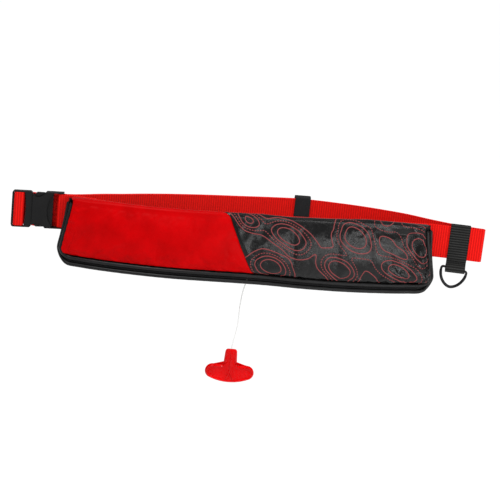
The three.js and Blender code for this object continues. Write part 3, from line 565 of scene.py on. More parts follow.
# Looks
class Look:
    """A material with a few short ways to add to its node tree."""

    def __init__(self, name, color, roughness, specular):
        self.material = bpy.data.materials.new(name)
        self.material.use_nodes = True
        self.tree = self.material.node_tree
        self.shader = self.tree.nodes["Principled BSDF"]
        self.shader.inputs["Base Color"].default_value = (*color, 1)
        self.shader.inputs["Roughness"].default_value = roughness
        self.shader.inputs["Specular IOR Level"].default_value = specular
        self.normal = None

    def node(self, kind, sockets=(), **settings):
        n = self.tree.nodes.new("ShaderNode" + kind)
        for key, value in settings.items():
            setattr(n, key, value)
        for key, value in dict(sockets).items():
            if isinstance(value, bpy.types.NodeSocket):
                self.tree.links.new(value, n.inputs[key])
            else:
                n.inputs[key].default_value = value
        return n

    def uv(self, scale=(1, 1, 1)):
        at = self.node("UVMap", uv_map="mm")
        return self.node("Mapping", {"Vector": at.outputs[0], "Scale": scale}).outputs[0]

    def place(self, scale=1000.0):
        at = self.node("TexCoord").outputs["Object"]
        return self.node("Mapping", {"Vector": at, "Scale": (scale,) * 3}).outputs[0]

    def wave(self, at, scale, **settings):
        return self.node("TexWave", {"Vector": at, "Scale": scale}, **settings).outputs["Fac"]

    def noise(self, at, scale, detail=2.0, rough=0.5):
        sockets = {"Vector": at, "Scale": scale, "Detail": detail, "Roughness": rough}
        return self.node("TexNoise", sockets).outputs["Fac"]

    def math(self, kind, a, b=0.0):
        return self.node("Math", {0: a, 1: b}, operation=kind).outputs[0]

    def ramp(self, value, low, high, start=0.0, end=1.0):
        sockets = {0: value, 1: start, 2: end, 3: low, 4: high}
        return self.node("MapRange", sockets).outputs[0]

    def color(self, share, a, b):
        """The base colour goes from a to b with a share."""
        n = self.node("Mix", {0: share, 6: (*a, 1), 7: (*b, 1)}, data_type="RGBA")
        self.tree.links.new(n.outputs[2], self.shader.inputs["Base Color"])

    def rough(self, roughness, scale, detail):
        """The roughness varies a little over the surface."""
        patches = self.noise(self.place(), scale, detail)
        varied = self.ramp(patches, roughness - 0.06, roughness + 0.08, 0.3, 0.7)
        self.tree.links.new(varied, self.shader.inputs["Roughness"])

    def bump(self, height, distance, strength=1.0):
        sockets = {"Height": height, "Distance": distance * MM, "Strength": strength}
        if self.normal is not None:
            sockets["Normal"] = self.normal
        self.normal = self.node("Bump", sockets).outputs[0]
        self.tree.links.new(self.normal, self.shader.inputs["Normal"])


def cloth_look(name, color, shade, roughness, specular, weave=0.55, depth=0.04):
    """Coated plain-weave cloth. weave is the pitch of its yarns in millimetres."""
    look = Look(name, color, roughness, specular)
    at = look.uv((1 / weave, 1 / weave, 1))
    warp = look.wave(at, 0.5, bands_direction="X", wave_profile="SIN")
    weft = look.wave(at, 0.5, bands_direction="Y", wave_profile="SIN")
    cloth = look.math("MULTIPLY", warp, weft)
    soft = look.noise(look.place(), 0.045, 3, 0.55)
    look.color(look.ramp(soft, 0.0, 1.0, 0.3, 0.7), color, shade)
    look.rough(roughness, 0.12, 3)
    look.bump(look.noise(look.place(), 0.3, 4, 0.6), 0.14, 0.4)
    look.bump(cloth, depth, 0.6)
    return look.material


def webbing_look(name, color, shade, roughness=0.62, rib=2.7, specular=0.08):
    """Woven webbing: chevron yarns over its ribs, with painted shade in bands at the rib pitch for the
    grooves.
    """
    look = Look(name, color, roughness, specular)
    at = look.node("SeparateXYZ", {0: look.uv()})
    along, across = at.outputs[0], at.outputs[1]
    groove = look.math("SINE", look.math("MULTIPLY", along, 2 * math.pi / rib))
    zigzag = look.math("PINGPONG", across, 1.45)
    lean = look.math("ADD", look.math("MULTIPLY", zigzag, 0.9), along)
    yarn = look.math("SINE", look.math("MULTIPLY", lean, 2 * math.pi / 0.9))
    fine = look.math("SINE", look.math("MULTIPLY", across, 2 * math.pi / 1.1))
    share = look.ramp(groove, 0.0, 0.75, -0.2, 1.0)
    fade = look.ramp(look.noise(look.place(), 0.08, 3), 0.0, 0.35, 0.35, 0.7)
    # Painted shade: the base colour goes towards shade in bands along the ribs; random patches lift it back
    # a little
    look.color(look.math("MAXIMUM", look.math("SUBTRACT", 0.8, share), fade), color, shade)
    look.bump(look.ramp(yarn, 0, 1, -1, 1), 0.14, 0.6)
    look.bump(look.ramp(fine, 0, 1, -1, 1), 0.06, 0.4)
    return look.material


def plastic_look(name, color, roughness, grain=0.02, specular=0.5):
    look = Look(name, color, roughness, specular)
    look.rough(roughness, 0.35, 4)
    look.bump(look.noise(look.place(), 6.0, 2), grain, 0.5)
    tone = look.noise(look.place(), 0.05, 2)
    light = tuple(min(c * 1.25 + 0.001, 1) for c in color)
    look.color(look.ramp(tone, 0, 1, 0.35, 0.7), color, light)
    return look.material


def thread_look(name, color, pitch=1.2):
    look = Look(name, color, 0.6, 0.2)
    look.bump(look.wave(look.place(), pitch, bands_direction="DIAGONAL"), 0.05, 0.5)
    look.color(look.noise(look.place(), 0.6), color, tuple(0.7 * c for c in color))
    return look.material


# The pouch's front: its cloth is longer than the space that it is sewn into, so it buckles
simFrames = 30
CLOTH_SETTINGS = {
    "quality": 8, "mass": 0.2, "tension_stiffness": 25, "compression_stiffness": 25,
    "shear_stiffness": 25, "bending_stiffness": 0.02, "tension_damping": 8,
    "compression_damping": 8, "shear_damping": 8, "air_damping": 2,
    "use_pressure": True, "uniform_pressure_force": 2,
}
sewnFrom = 0.66  # share of the height above which the cloth is held
slack, redEndSlack, blackEndSlack, endReach = 0.008, 0.012, 0.05, 0.15
creaseCap = 3.2  # how far the simulated cloth may move, in millimetres


def crumple(p, pin, longer):
    """The grid of points after a cloth simulation, pinned where pin is 1, longer by shares of its size."""
    rows, columns = p.shape[:2]
    start = p * MM
    mesh = bpy.data.meshes.new("crumple")
    mesh.from_pydata(start.reshape(-1, 3).tolist(), [], grid_faces(rows, columns).tolist())
    o = add("crumple", mesh)
    held, loose = (o.vertex_groups.new(name=n) for n in ("held", "loose"))
    for i, (a, b) in enumerate(zip(pin.ravel(), 1 - longer.ravel() / longer.max())):
        held.add([i], float(a), "REPLACE")
        loose.add([i], float(b), "REPLACE")
    cloth = o.modifiers.new("cloth", "CLOTH")
    s = cloth.settings
    for key, value in CLOTH_SETTINGS.items():
        setattr(s, key, value)
    s.vertex_group_mass = "held"
    s.vertex_group_shrink = "loose"
    s.shrink_min = -float(longer.max())
    s.effector_weights.gravity = 0
    cloth.collision_settings.use_collision = False
    scene = bpy.context.scene
    for number in range(1, simFrames + 1):
        scene.frame_set(number)
    bpy.context.view_layer.update()
    done = o.evaluated_get(bpy.context.evaluated_depsgraph_get()).data
    q = np.empty(rows * columns * 3)
    done.vertices.foreach_get("co", q)
    scene.frame_set(1)
    bpy.data.objects.remove(o)
    return q.reshape(rows, columns, 3) / MM


def spread(coarse, count):
    """Rows of a coarse grid interpolated to count rows along its first axis, smoothly."""
    n = len(coarse)
    at = np.linspace(0, n - 1, count)
    i = np.clip(at.astype(int), 0, n - 2)
    t = (at - i).reshape(-1, *[1] * (coarse.ndim - 1))
    a, b, c, d = (coarse[np.clip(i + k, 0, n - 1)] for k in (-1, 0, 1, 2))
    return b + 0.5 * t * (c - a + t * (2 * a - 5 * b + 4 * c - d + t * (3 * (b - c) + d - a)))


def panel_grid(left, columns, rows):
    u = np.linspace(0, 1, columns)[:, None]
    v = np.linspace(0, 1, rows)[None, :]
    gap = clear / packLength / 2
    share = seam_share(v)
    across = u * (share - gap) if left else mix(share + gap, 1, u)
    across, v = np.broadcast_arrays(across, v)
    g = panel_point(across, v)
    return place(g[..., 0], g[..., 1], g[..., 2]), across, v, np.abs(across - share) * 2 * halfPack


# Heights of low swells, ripples and streaks, then the streaks' share and reach at the outer end
SWELLS = {True: (0.6, 0.2, 0.9, 0.5, 25), False: (1.3, 0.45, 1.3, 1.0, 24)}
# Folds: from the end and up from the lower edge in millimetres, the way they run, half width, height
FOLDS = {
    True: [
        (4, 3, 26, 5, 1.8, 0.9), (58, 3, 12, 9, 1.6, 0.8), (66, 4, -3, 12, 1.4, 0.6),
        (110, 4, 22, 3, 2.2, 0.7), (170, 5, -34, 3, 2.6, 0.8), (182, 10, -40, 5, 3, 0.6),
        (2, 44, 60, -9, 3.5, 0.9),
    ],
    False: [
        (9, 4, 6, 30, 2.6, 2.2), (3, 10, 3, 46, 2.2, 1.6), (16, 3, 24, 13, 2.4, 1.5),
        (26, 2, 40, 30, 3.2, 1.1), (8, 30, 14, 24, 2.6, 1.3), (150, 2, 18, 9, 1.8, 1.0),
        (162, 3, -10, 12, 1.8, 0.8), (128, 2, 22, 6, 2, 0.9), (96, 2, 22, 16, 2.6, 0.8),
        (62, 2, 14, 18, 2.4, 0.9),
    ],
}


def panel_push(p, u, v, from_seam, seed, left):
    """The smaller folds that are pressed into the front cloth, in millimetres."""
    x, z = p[..., 0], p[..., 2]
    low, from_left, from_right = v * 62, u * 2 * halfPack, (1 - u) * 2 * halfPack
    edge = np.minimum(np.minimum(low, from_left), np.minimum(from_right, (1 - v) * 60))
    fade = smooth(edge / 9)
    from_end = from_left if left else from_right
    swell, ripple, streak, share, reach = SWELLS[left]
    push = swell * noise(x / 42, z / 26, seed) * fade
    push += ripple * noise(x / 17 + z / 40, z / 12, seed + 1) * fade
    end = np.exp(-from_end / reach) * share
    streaks = noise((x + 0.5 * z) / 9, (z - 0.3 * x) / 45, seed + 2)
    push += streak * streaks * end * smooth(edge / 5)
    for near, up, run, rise, wide, high in FOLDS[left]:
        a, b = from_end - near, low - up
        t = np.clip((a * run + b * rise) / (run**2 + rise**2), 0, 1)
        away = np.hypot(a - t * run, b - t * rise)
        push += high * (1 - t) * np.exp(-((away / wide) ** 2)) * smooth(edge / 2.5)
    pucker = np.sin(2 * math.pi * x / 9.5 + 2.2 * noise(x / 15, z / 40, seed + 3))
    push += 0.22 * pucker * np.exp(-low / 6) * smooth(low / 2)
    return push - 0.4 * np.exp(-((from_seam / 1.3) ** 2)) * smooth(low / 3)


def front_panel(name, node, left, look, seed):
    fine, coarse = (150, 84), (72, 34)
    p, u, v, from_seam = panel_grid(left, *fine)
    q, cu, cv, _ = panel_grid(left, *coarse)
    pin = np.zeros(coarse)
    pin[:1] = pin[-1:] = pin[:, :1] = 1
    pin[:, cv[0] > sewnFrom] = 1
    near_end = cu / seam_share(cv) if left else (1 - cu) / (1 - seam_share(cv))
    longer = slack + (redEndSlack if left else blackEndSlack) * np.exp(-near_end / endReach)
    moved = crumple(q, pin, longer) - q
    far = np.linalg.norm(moved, axis=-1, keepdims=True)
    moved *= creaseCap * np.tanh(far / creaseCap) / np.maximum(far, 1e-9)
    p = p + spread(spread(moved, fine[0]).swapaxes(0, 1), fine[1]).swapaxes(0, 1)
    cut, away = panel_grid(left, *fine)[0], (0, -1, 0.3)
    push = panel_push(p, u, v, from_seam, seed, left)
    p = p + grid_normals(p, away) * push[..., None]
    o = sheet_mesh(name, p, clothWall, look, node, away)
    return p + grid_normals(p, away) * clothWall / 2


# Print on the black panel: hills of a made-up map
# Place along and up in millimetres, spread along and up, turn in degrees, height
HILLS = [
    (26, 12, 20, 15, 25, 1.0), (60, 54, 22, 16, -20, 1.0), (104, 14, 17, 19, 10, 1.0),
    (140, 58, 19, 21, 0, 1.0), (176, 16, 22, 15, -15, 0.95), (214, 46, 15, 21, 0, 0.9),
    (96, 84, 16, 16, 0, -0.5), (20, 74, 14, 14, 0, 0.7), (184, 84, 18, 16, 0, 0.6),
]
# Each line's height on the map, and whether it is dashed
LINES = [(0.12, False), (0.27, True), (0.44, False), (0.68, False)]
lineWide, dashLong, dashGap = 1.1, 1.9, 1.2
printShare, shortestLine, printStep = 0.86, 6, 1.1


def map_height(x, z):
    h = 0.12 * noise(x / 21, z / 17, 5)
    for cx, cz, wide, tall, turn, height in HILLS:
        c, s = math.cos(math.radians(turn)), math.sin(math.radians(turn))
        a, b = (x - cx) * c + (z - cz) * s, (z - cz) * c - (x - cx) * s
        h = h + height * np.exp(-((a / wide) ** 2) - (b / tall) ** 2)
    return h


def crossings(h, level):
    """Lines along which a grid of heights crosses a level, as lists of (row, column) places."""
    up = h > level
    mixed = (up[1:, 1:] != up[:-1, 1:]) | (up[1:, 1:] != up[1:, :-1]) | (up[:-1, :-1] != up[1:, :-1])
    links, places = {}, {}
    for i, j in np.argwhere(mixed | (up[:-1, :-1] != up[:-1, 1:])):
        corners = [(i, j), (i + 1, j), (i + 1, j + 1), (i, j + 1)]
        cut = []
        for a, b in zip(corners, corners[1:] + corners[:1]):
            if up[a] != up[b]:
                key = (min(a, b), max(a, b))
                t = (level - h[key[0]]) / (h[key[1]] - h[key[0]])
                places[key] = mix(np.array(key[0], float), np.array(key[1], float), t)
                cut.append(key)
        for a, b in zip(cut[::2], cut[1::2]):
            links.setdefault(a, []).append(b)
            links.setdefault(b, []).append(a)
    rows = []
    while links:
        key = next((k for k in links if len(links[k]) == 1), next(iter(links)))
        row = [key]
        while links.get(key):
            after = links[key].pop()
            links[after].remove(key)
            if not links[key]:
                del links[key]
            key = after
            row.append(key)
        links.pop(key, None)
        rows.append(np.array([places[k] for k in row]))
    return rows


def print_lines(face, look):
    """Thin lines of ink on the panel's outer face, which is a grid of points."""
    face = face[:, :int(face.shape[1] * printShare)]
    rows, columns = face.shape[:2]
    height = map_height(*grid_lengths(face))
    normal = grid_normals(face, (0, -1, 0.3))

    def on(grid, at):
        i = np.clip(at[:, 0].astype(int), 0, rows - 2)
        j = np.clip(at[:, 1].astype(int), 0, columns - 2)
        a, b = (at[:, 0] - i)[:, None], (at[:, 1] - j)[:, None]
        return mix(mix(grid[i, j], grid[i + 1, j], a), mix(grid[i, j + 1], grid[i + 1, j + 1], a), b)

    section = np.array([(-0.5, -0.12), (-0.44, 0.07), (0.44, 0.07), (0.5, -0.12)])
    section[:, 0] *= lineWide
    points, faces, start = [], [], 0
    for level, dashed in LINES:
        for at in crossings(height, level):
            far = lengths(on(face, at))
            if far[-1] < shortestLine:
                continue
            spans = [(0, far[-1])]
            if dashed:
                spans = [(a, a + dashLong) for a in np.arange(0, far[-1] - dashLong, dashLong + dashGap)]
            for a, b in spans:
                steps = np.linspace(a, b, max(int((b - a) / printStep), 2) + 1)
                spot = np.stack([np.interp(steps, far, at[:, k]) for k in (0, 1)], 1)
                line, up = on(face, spot), unit(on(normal, spot))
                side = unit(np.cross(up, tangents(line)))
                p = line[:, None] + side[:, None] * section[None, :, :1] + up[:, None] * section[None, :, 1:]
                bar = outward_faces(p.reshape(-1, 3), bar_faces(len(line), 4))
                faces += [[start + k for k in q] for q in bar]
                points.append(p.reshape(-1, 3))
                start += len(line) * 4
    piece("print", np.vstack(points), faces, look)


# The pouch's edge and back
tapeHalf, tapeBelow, tapeWall = 0.8, 0.6, 0.6
coilPitch, coilSway, coilBead = 1.15, 0.24, (1.15, 0.9, 0.75)
holeRadius, drillDepth = 1.15, 8  # the cord's hole in the gusset


def zip_band(cloth, coil, thread):
    zip_across = 2 * outerRoll + 1.5 * clear + zipRadius
    inner_across = 2 * outerRoll + 3 * clear + 2 * zipRadius + innerRoll

    def puckers(seed):
        def swell(count, sides):
            i = np.arange(count)[:, None] * 0.9
            k = np.linspace(0, 6, sides, endpoint=False)[None, :]
            return 0.957 - 0.022 * noise(i / 7, k, seed) - 0.02 * noise(i / 2.6, k * 0.6, seed + 1)
        return swell

    rolls = [("zip_roll_outer", outerRoll, outerRoll), ("zip_roll_inner", inner_across, innerRoll)]
    for name, across, radius in rolls:
        line = resample(catmull(band_line(across)), 0.9)[0]
        tube_mesh(name + "_cloth", line, radius, 18, cloth, name, puckers(len(name)))
    line = resample(catmull(band_line(zip_across, -zipSink)), coilPitch)[0]
    tape = [catmull(band_line(zip_across + d, -zipSink - tapeBelow)) for d in (-tapeHalf, 0, tapeHalf)]
    edges = [resample(edge, count=400)[0] for edge in tape]
    sheet_mesh("zip_tape", np.stack(edges, 1), tapeWall, thread, "zip", (0, -1, -0.4))
    out = resample(catmull(band_line(zip_across, -zipSink + 1)), count=len(line) - 1)[0]
    t = tangents(line)
    normal = unit(out - line)
    side = np.cross(t, normal)
    wave = np.where(np.arange(len(line)) % 2 == 0, 1, -1)[:, None]
    beads("zip_coil", [(line + side * wave * coilSway, side, t, normal, coilBead)], coil)


def rim_inset(t, inset):
    s, z, in_s, in_z, _, _ = rim(t)
    return np.stack([s + in_s * inset, z + in_z * inset], -1)


def back_panel(look):
    u = np.linspace(0, 1, 140)[:, None]
    v = np.linspace(0, 1, 36)[None, :]
    low = rim_inset(mix(cornerT, 1 - cornerT, u), clear)
    left = rim_inset(mix(cornerT, 0, v), clear)
    right = rim_inset(mix(1 - cornerT, 1, v), clear)
    ends = [rim_inset(t, clear) for t in (cornerT, 1 - cornerT, 0.0, 1.0)]
    top = mix(ends[2], ends[3], u[..., None])
    p = mix(left, right, u[..., None]) + mix(low, top, v[..., None])
    p = p - mix(mix(ends[0], ends[1], u[..., None]), top, v[..., None])
    edge = np.minimum(np.minimum(u, 1 - u) * 400, np.minimum(v, 1 - v) * 70)
    push = 0.12 * noise(p[..., 0] / 30, p[..., 1] / 20, 4) * smooth(edge / 6)
    q = place(p[..., 0], backFace + backWall / 2 + 0.1 - push, p[..., 1])
    o = sheet_mesh("back_panel_cloth", q, backWall, look, "back_panel", (0, 1, 0))


def gusset(look):
    t = mix(bandStart, 1 - bandStart, np.linspace(0, 1, 420))
    v = np.linspace(0, 1, 9)[None, :]
    edge = rim_inset(t, clear + clothWall / 2)[:, None]
    near = backFace + backWall + clear
    far = band_point(t, outerRoll + clear)[:, 1] - outerRoll - clear
    cut = place(edge[..., 0], mix(near, far[:, None], v), edge[..., 1])
    wave = 0.25 * noise(np.arange(len(t))[:, None] / 6.0, v * 2, 8) * np.sin(math.pi * v)
    p = cut + grid_normals(cut, (0, 0, -1)) * wave[..., None]
    o = sheet_mesh("gusset_cloth", p, clothWall, look, "gusset", (0, 0, -1))
    x, y, _ = CORD_ROUTE[2]
    bpy.ops.mesh.primitive_cylinder_add(vertices=24, radius=holeRadius * MM, depth=drillDepth * MM)
    drill = bpy.context.object
    drill.location = (x * MM, y * MM, float(bottom_z(np.array(x))) * MM)
    hole = o.modifiers.new("hole", "BOOLEAN")
    hole.object = drill
    hole.solver = "EXACT"
    apply(o)
    bpy.data.objects.remove(drill)


def apply(o):
    """The piece's mesh with its modifiers applied."""
    bpy.context.view_layer.update()
    made = bpy.data.meshes.new_from_object(o.evaluated_get(bpy.context.evaluated_depsgraph_get()))
    o.modifiers.clear()
    o.data = made


def belt_sleeve(look, thread):
    hem_out = backFace - clear - sleeveWall / 2
    flat_out = -(halfBelt + clear + sleeveWall / 2)
    edge = beltWidth / 2 + clear + sleeveWall / 2
    low, high = -(edge + sleeveHem), packTop - shoulderDrop + sleeveWall
    rows = [(0, hem_out, low), (0.125, hem_out, low + 0.6 * sleeveHem), (0.25, flat_out, -edge),
            (0.625, flat_out, 0), (1, flat_out, high)]
    share, outs, ups = np.array(rows).T
    s = sleeveCentre + sleeveLength * (np.linspace(0, 1, 150) - 0.5)
    v = np.linspace(0, 1, 33)
    p = place(s[:, None], np.interp(v, share, outs)[None, :], np.interp(v, share, ups)[None, :])
    o = sheet_mesh("belt_sleeve_cloth", p, sleeveWall, look, "belt_sleeve", (0, 1, 0))
    away = -unit(place(s, 1.0, 0) - place(s, 0.0, 0))[2:-2]
    inside = lambda z, out: place(s[2:-2], out - sleeveWall / 2, z)
    rows = [(low + 1.2, hem_out), (high - 2.0, flat_out)]
    beads("sleeve_stitches", [stitch_row(inside(z, out), away, 3.4) for z, out in rows], thread)


# Straps
def belt(look):
    line = belt_line()
    path = np.column_stack([line, settle(line)])
    strap("belt_webbing", path, (0, 0, 1), beltWidth, beltThick, look, "belt")


def across_plane(points, at, away):
    """Points given as (out, up) in the plane that stands across the belt at a place."""
    p = np.asarray(points, float)
    return np.column_stack([at[0] + p[:, 0] * away[0], at[1] + p[:, 0] * away[1], p[:, 1]])


def rounded_box(left, low, right, high, r):
    corners = [
        (right - r, low + r, -90), (right - r, high - r, 0),
        (left + r, high - r, 90), (left + r, low + r, 180),
    ]
    return np.vstack([arc(x, y, r, a, a + 90, 5) for x, y, a in corners])


def keeper(look):
    line = back_run()
    i = int(np.argmin(np.abs(line[:, 0] - keeperAt)))
    along = unit(line[i + 1] - line[i - 1])
    away = np.array([along[1], -along[0]])
    sag = keeperWidth**2 / (8 * backBow * 1.5)
    half = keeperWall / 2
    near, far = -(halfBelt + clear + sag) - half, halfBelt + layer + clear + sag + half
    low, high = -(beltWidth / 2 + clear) - half, beltWidth / 2 + keeperSlack + half
    path = across_plane(rounded_box(near, low, far, high, 1.3 * keeperWall), line[i], away)
    strap(
        "keeper_band", path, (*along, 0), keeperWidth, keeperWall, look, "keeper",
        rib=1.3, rise=0.06, closed=True, step=0.4,
    )


def ring_seat():
    span = loopHalf - halfPack
    t = ringLead / span
    slope = (right_lead_y(t + 0.01) - right_lead_y(t - 0.01)) / (0.02 * span)
    return np.array([halfPack + ringLead, right_lead_y(t)]), unit(np.array([slope, -1.0]))


ringBarZ = -(beltWidth / 2 + barBelow)


def ring_loop(look, thread):
    leg = halfBelt + clear + tabThick / 2
    pinch = (tabThick + clear) / 2
    edge = beltWidth / 2 + clear
    askew = tabWidth / 2 * math.tan(math.radians(ringTilt))
    eye = ringWire / 2 + clear + askew + tabThick / 2
    line = np.vstack([
        [(pinch, -edge - tabSewn), (pinch, -edge - 2.2), (leg, -edge + 0.6)],
        arc(0, edge, leg, 0, 180, 8),
        [(-leg, -edge + 0.6), (-pinch, -edge - 2.2), (-pinch, ringBarZ + eye + 1.4)],
        arc(0, ringBarZ, eye, 140, 400, 14),
        [(pinch, ringBarZ + eye + 1.4), (pinch, -edge - tabSewn - layerGap)],
    ])
    at, away = ring_seat()
    along = np.array([-away[1], away[0]])
    path = across_plane(line, at, away)
    strap(
        "d_ring_loop_webbing", path, (*along, 0), tabWidth, tabThick, look, "d_ring_loop",
        rib=2.9, rise=0.55, step=0.4,
    )
    rows = []
    for up, proud in ((-edge - 1.2, 0.9), (-edge - 2.9, 0.0)):
        for side in (-1, 1):
            out = side * (pinch + tabThick / 2 + proud)
            ends = [at + away * out + along * w for w in (1.4 - tabWidth / 2, tabWidth / 2 - 1.4)]
            row = resample(np.array([(*e, up) for e in ends]), count=12)[0]
            rows.append(stitch_row(row, (*(away * side), 0), 2.6))
    beads("d_ring_loop_stitches", rows, thread)


def d_ring(look):
    """The ring's outline lies in the plane of its bar and bow, about the bar's middle."""
    half = (ringInner + ringWire) / 2
    flat = half - ringCorner
    a = np.linspace(0, math.pi, 90)[1:-1]
    x = np.sign(np.cos(a)) * half * np.abs(np.cos(a)) ** ringPoint
    bow = np.stack([x, -ringCorner - (ringDepth - ringCorner) * np.sin(a)], 1)
    right = arc(flat, -ringCorner, ringCorner, 90, 0, 8)
    left = arc(-flat, -ringCorner, ringCorner, 180, 90, 8)
    line = resample(np.vstack([right, bow, left, right[:1]]), 0.7)[0][:-1]
    t = tangents(line, closed=True)
    turn = turns(24)
    round_bar = ringWire / 2 + bowExtra * smooth((-line[:, 1] - ringCorner) / bowRamp)
    out = round_bar[:, None] * np.cos(turn)
    flat_points = line[:, None] + np.stack([-t[:, 1], t[:, 0]], 1)[:, None] * out[..., None]
    joint = frame["record"]["behaviour"]["joints"][0]
    bar = unit(np.array(joint["axis"], float))
    through = unit(np.cross((0, 0, 1), bar))
    down = np.cross(bar, through)
    p = np.array(joint["pos_m"]) / MM + flat_points[..., :1] * bar + flat_points[..., 1:] * down
    p = (p + (round_bar[:, None] * np.sin(turn))[..., None] * through).reshape(-1, 3)
    faces = outward_faces(p, bar_faces(len(line), len(turn), closed=True))
    piece("d_ring_wire", p, faces, look, "d_ring", RING)


def pull_cord():
    look = Look("white_cord", (0.93, 0.93, 0.92), 0.8, 0.1)
    twist = look.wave(look.place(), 0.55, bands_direction="DIAGONAL", wave_profile="SIN")
    look.bump(twist, 0.05, 0.4)
    # Painted shade: the cord is coloured darker where its twist bump is low, in the braid's grooves
    look.color(twist, (0.74, 0.74, 0.73), (0.88, 0.88, 0.87))
    path = resample(catmull(CORD_ROUTE), 1.2)[0] * MM
    data = bpy.data.curves.new("cord", "CURVE")
    data.dimensions = "3D"
    data.bevel_depth = cordDiameter / 2 * MM
    data.bevel_resolution = 4
    data.use_fill_caps = True
    spline = data.splines.new("POLY")
    spline.points.add(len(path) - 1)
    spline.points.foreach_set("co", np.column_stack([path, np.ones(len(path))]).ravel())
    data.materials.append(look.material)
    o = add("cord", data)
    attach(o, PACK)
    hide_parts("pull_cord")
    return o, path


# The handle: rows across its outline, each row's points rounded towards the edge
def handle_outline():
    stem, span, grip = stemWidth / 2, handleSpan / 2, -stemHeight
    middle = np.array([span - gripRadius, grip - gripRadius])

    def bow(a, b, c):
        t = np.linspace(0, 1, 13)[:, None]
        return (1 - t) ** 2 * np.array(a) + 2 * t * (1 - t) * np.array(b) + t**2 * np.array(c)

    end = arc(*middle, gripRadius, 90, -60, 20)
    return np.vstack([
        [(0, 0)],
        bow((stem - 4.5, 0), (stem - 1, 0), (stem - 0.8, -4)),
        bow((stem, grip + 2.5), (stem, grip), (stem + 2.5, grip)),
        end,
        bow(end[-1], (0.45 * span, -handleHeight), (0, -handleHeight)),
    ])


def distance_to(points, line):
    a, b = line[:-1], line[1:]
    d = b - a
    size = np.maximum((d * d).sum(1), 1e-9)
    t = np.clip(((points[:, None] - a) * d).sum(-1) / size, 0, 1)
    return np.linalg.norm(points[:, None] - (a + t[..., None] * d), axis=-1).min(1)


# The handle's relief in millimetres: rounded edge, rib along it, forked ridge, and the grip's sunk fans
edgeRound, faceSink = 2.4, 1.3
ribIn, ribWide, ribHigh = 1.7, 0.6, 0.95
forkBelow, forkSlope, ridgeWide, ridgeHigh = 7, 0.42, 0.8, 1.2
fanSink, fanHigh, fanWaves, fanCentre = 0.3, 0.2, 46, 8


def handle_relief(x, z, deep):
    """Half the handle's thickness at points that lie deep inside its outline."""
    across, top = np.abs(x), handleThick / 2
    rise = np.sqrt(np.clip(1 - (1 - np.clip(deep / edgeRound, 0, 1)) ** 2, 0, 1))
    rib = ribHigh * np.exp(-((deep - ribIn) / ribWide) ** 2)
    split = -stemHeight - forkBelow
    fork = np.where(z > split, 0, (split - z) * forkSlope)
    ridge = np.exp(-(((across - fork) / ridgeWide) ** 2))
    ridge = ridge * smooth((-z - 2) / 3) * smooth((z + handleHeight - 2) / 4)
    lobes = smooth((across - 5) / 5) * smooth((deep - edgeRound) / 1.6)
    fan = fanHigh * np.sin(np.arctan2(z + stemHeight - fanCentre, across) * fanWaves) * lobes
    body = (top - faceSink) * rise + (rib + ridgeHigh * ridge + fan - fanSink * lobes) * rise
    return np.minimum(body, top)


def pull_handle(look):
    half = handle_outline()
    outline = np.vstack([half, (half * (-1, 1))[::-1]])
    keep = np.r_[True, np.linalg.norm(np.diff(half, axis=0), axis=1) > 1e-6]
    half = half[keep]
    levels = np.unique(np.r_[
        -(1 - np.cos(np.linspace(0, math.pi / 2, 10))) * stemHeight,
        -stemHeight - 2.2 * np.linspace(0, 1, 10) ** 2,
        np.linspace(-stemHeight - 2.6, -handleHeight + 1.5, 34),
        -handleHeight + 1.5 * (1 - np.sin(np.linspace(0, math.pi / 2, 8))),
    ].round(3))[::-1]
    wide = np.array([max(np.interp(-z, -half[:, 1], half[:, 0]), 0.02) for z in levels])
    share = np.sin(np.linspace(-math.pi / 2, math.pi / 2, 61))
    x = wide[:, None] * share[None, :]
    z = levels[:, None] + 0 * x
    deep = distance_to(np.stack([x, z], -1).reshape(-1, 2), outline).reshape(x.shape)
    deep[:, 0] = deep[:, -1] = 0
    deep[0] = deep[-1] = 0
    body = handle_relief(x, z, deep)
    n = x.size
    points = np.vstack([np.stack([x, z, side * body], -1).reshape(-1, 3) for side in (1, -1)])
    faces = np.vstack([grid_faces(*x.shape), n + grid_faces(*x.shape)[:, ::-1]])
    cx, cy, cz = CORD_ROUTE[-1]
    world = np.column_stack([cx + points[:, 0], cy - points[:, 2], cz - clear + points[:, 1]])
    o = piece("pull_handle_moulded", world, outward_faces(world, faces.tolist()), look, "pull_handle")
    weld = o.modifiers.new("weld", "WELD")
    weld.merge_threshold = 2e-5
    apply(o)
    crease(o, 38)
    return o


def dress(node, look, bevel):
    """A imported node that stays: its material and softer edges."""
    o = frame["nodes"][node]
    o.data.materials.clear()
    o.data.materials.append(look)
    m = o.modifiers.new("edges", "BEVEL")
    m.width = bevel * MM
    m.segments = 2
    m.limit_method = "ANGLE"
    m.angle_limit = math.radians(35)
    m.harden_normals = True


# Floor and light
floorSize, floorAt, worldLight = 60, (0, 20, -0.62), 0.34
# Name, kind, place in metres, power, and what else it sets. Each looks at the origin
LAMPS = [
    ("key", "SUN", (-0.3, -0.5, 1.8), 2.6, {"angle": math.radians(20)}),
    ("side", "AREA", (1.05, -0.8, 0.1), 3.5, {"size": 0.25}),
    ("front", "AREA", (0.6, -1.0, 0.34), 3.2, {"size": 0.22}),
]


def make_stage():
    bpy.ops.mesh.primitive_plane_add(size=floorSize, location=floorAt)
    floor = bpy.context.object
    floor.name = "floor"
    look = Look("floor", (0.93, 0.93, 0.93), 0.9, 0.1)
    look.color(look.noise(look.place(1.0), 0.4), (0.92, 0.92, 0.92), (0.94, 0.94, 0.94))
    floor.data.materials.append(look.material)
    world = bpy.data.worlds.new("world")
    world.use_nodes = True
    world.node_tree.nodes["Background"].inputs[0].default_value = (1, 1, 1, 1)
    world.node_tree.nodes["Background"].inputs[1].default_value = worldLight
    bpy.context.scene.world = world
    bpy.context.scene.view_settings.view_transform = "Standard"
    for name, kind, at, power, settings in LAMPS:
        data = bpy.data.lights.new(name, kind)
        data.energy = power
        for key, value in settings.items():
            setattr(data, key, value)
        add(name, data).matrix_world = aim(at)


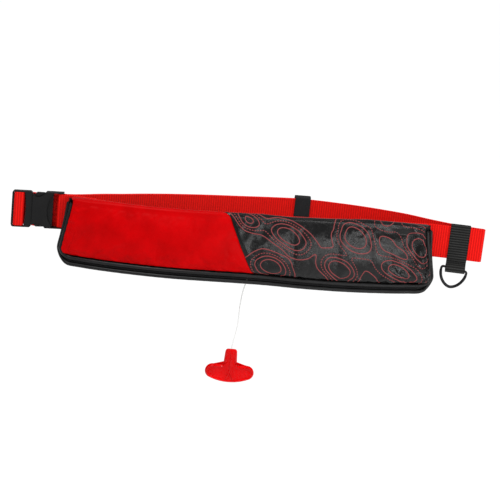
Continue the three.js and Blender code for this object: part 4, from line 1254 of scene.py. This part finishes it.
def aim(at):
    back = unit(np.array(at, float))
    right = unit(np.cross((0, 0, 1), back))
    return facing(at, right, np.cross(back, right), back)


# Making
make_camera()
cord, cord_path = pull_cord()
handle = pull_handle(plastic_look("red_plastic", (0.56, 0.0005, 0.001), 0.16, grain=0.004, specular=0.1))

RED, RED_SHADE = (0.53, 0.0005, 0.0015), (0.41, 0.0004, 0.001)
BLACK, BLACK_SHADE = (0.0035, 0.0035, 0.0036), (0.006, 0.006, 0.0062)
red_cloth = cloth_look("red_cloth", RED, RED_SHADE, 0.4, 0.03)
black_cloth = cloth_look("black_cloth", BLACK, BLACK_SHADE, 0.25, 0.26)
band_cloth = cloth_look("band_cloth", (0.007, 0.007, 0.0073), (0.01, 0.01, 0.0105), 0.4, 0.2)
# Each webbing's second colour is painted shade for its ribs' grooves
red_webbing = webbing_look("red_webbing", (0.9, 0.009, 0.004), (0.5, 0.002, 0.002))
black_webbing = webbing_look("black_webbing", (0.028, 0.028, 0.027), (0.001, 0.001, 0.001), 0.5, 2.9, 0.12)
keeper_webbing = webbing_look("keeper_webbing", (0.014, 0.014, 0.015), (0.012, 0.012, 0.013), 0.6, 1.3, 0.15)
black_plastic = plastic_look("black_plastic", (0.0065, 0.0065, 0.0068), 0.4, specular=0.16)
ring_plastic = plastic_look("ring_plastic", (0.006, 0.006, 0.007), 0.3, grain=0.005, specular=0.2)
coil_plastic = plastic_look("coil_plastic", (0.01, 0.01, 0.011), 0.45, specular=0.25)
dark_thread = thread_look("dark_thread", (0.012, 0.012, 0.013))
print_ink = thread_look("print_ink", (0.27, 0.05, 0.052), 0.8)

front_panel("front_red_cloth", "front_panel_red", True, red_cloth, 11)
black_face = front_panel("front_black_cloth", "front_panel_black", False, black_cloth, 23)
print_lines(black_face, print_ink)
zip_band(band_cloth, coil_plastic, dark_thread)
back_panel(band_cloth)
gusset(band_cloth)
belt_sleeve(band_cloth, dark_thread)
belt(red_webbing)
keeper(keeper_webbing)
ring_loop(black_webbing, dark_thread)
d_ring(ring_plastic)
dress("buckle_male", black_plastic, 0.25)
dress("buckle_female", black_plastic, 0.3)
make_stage()
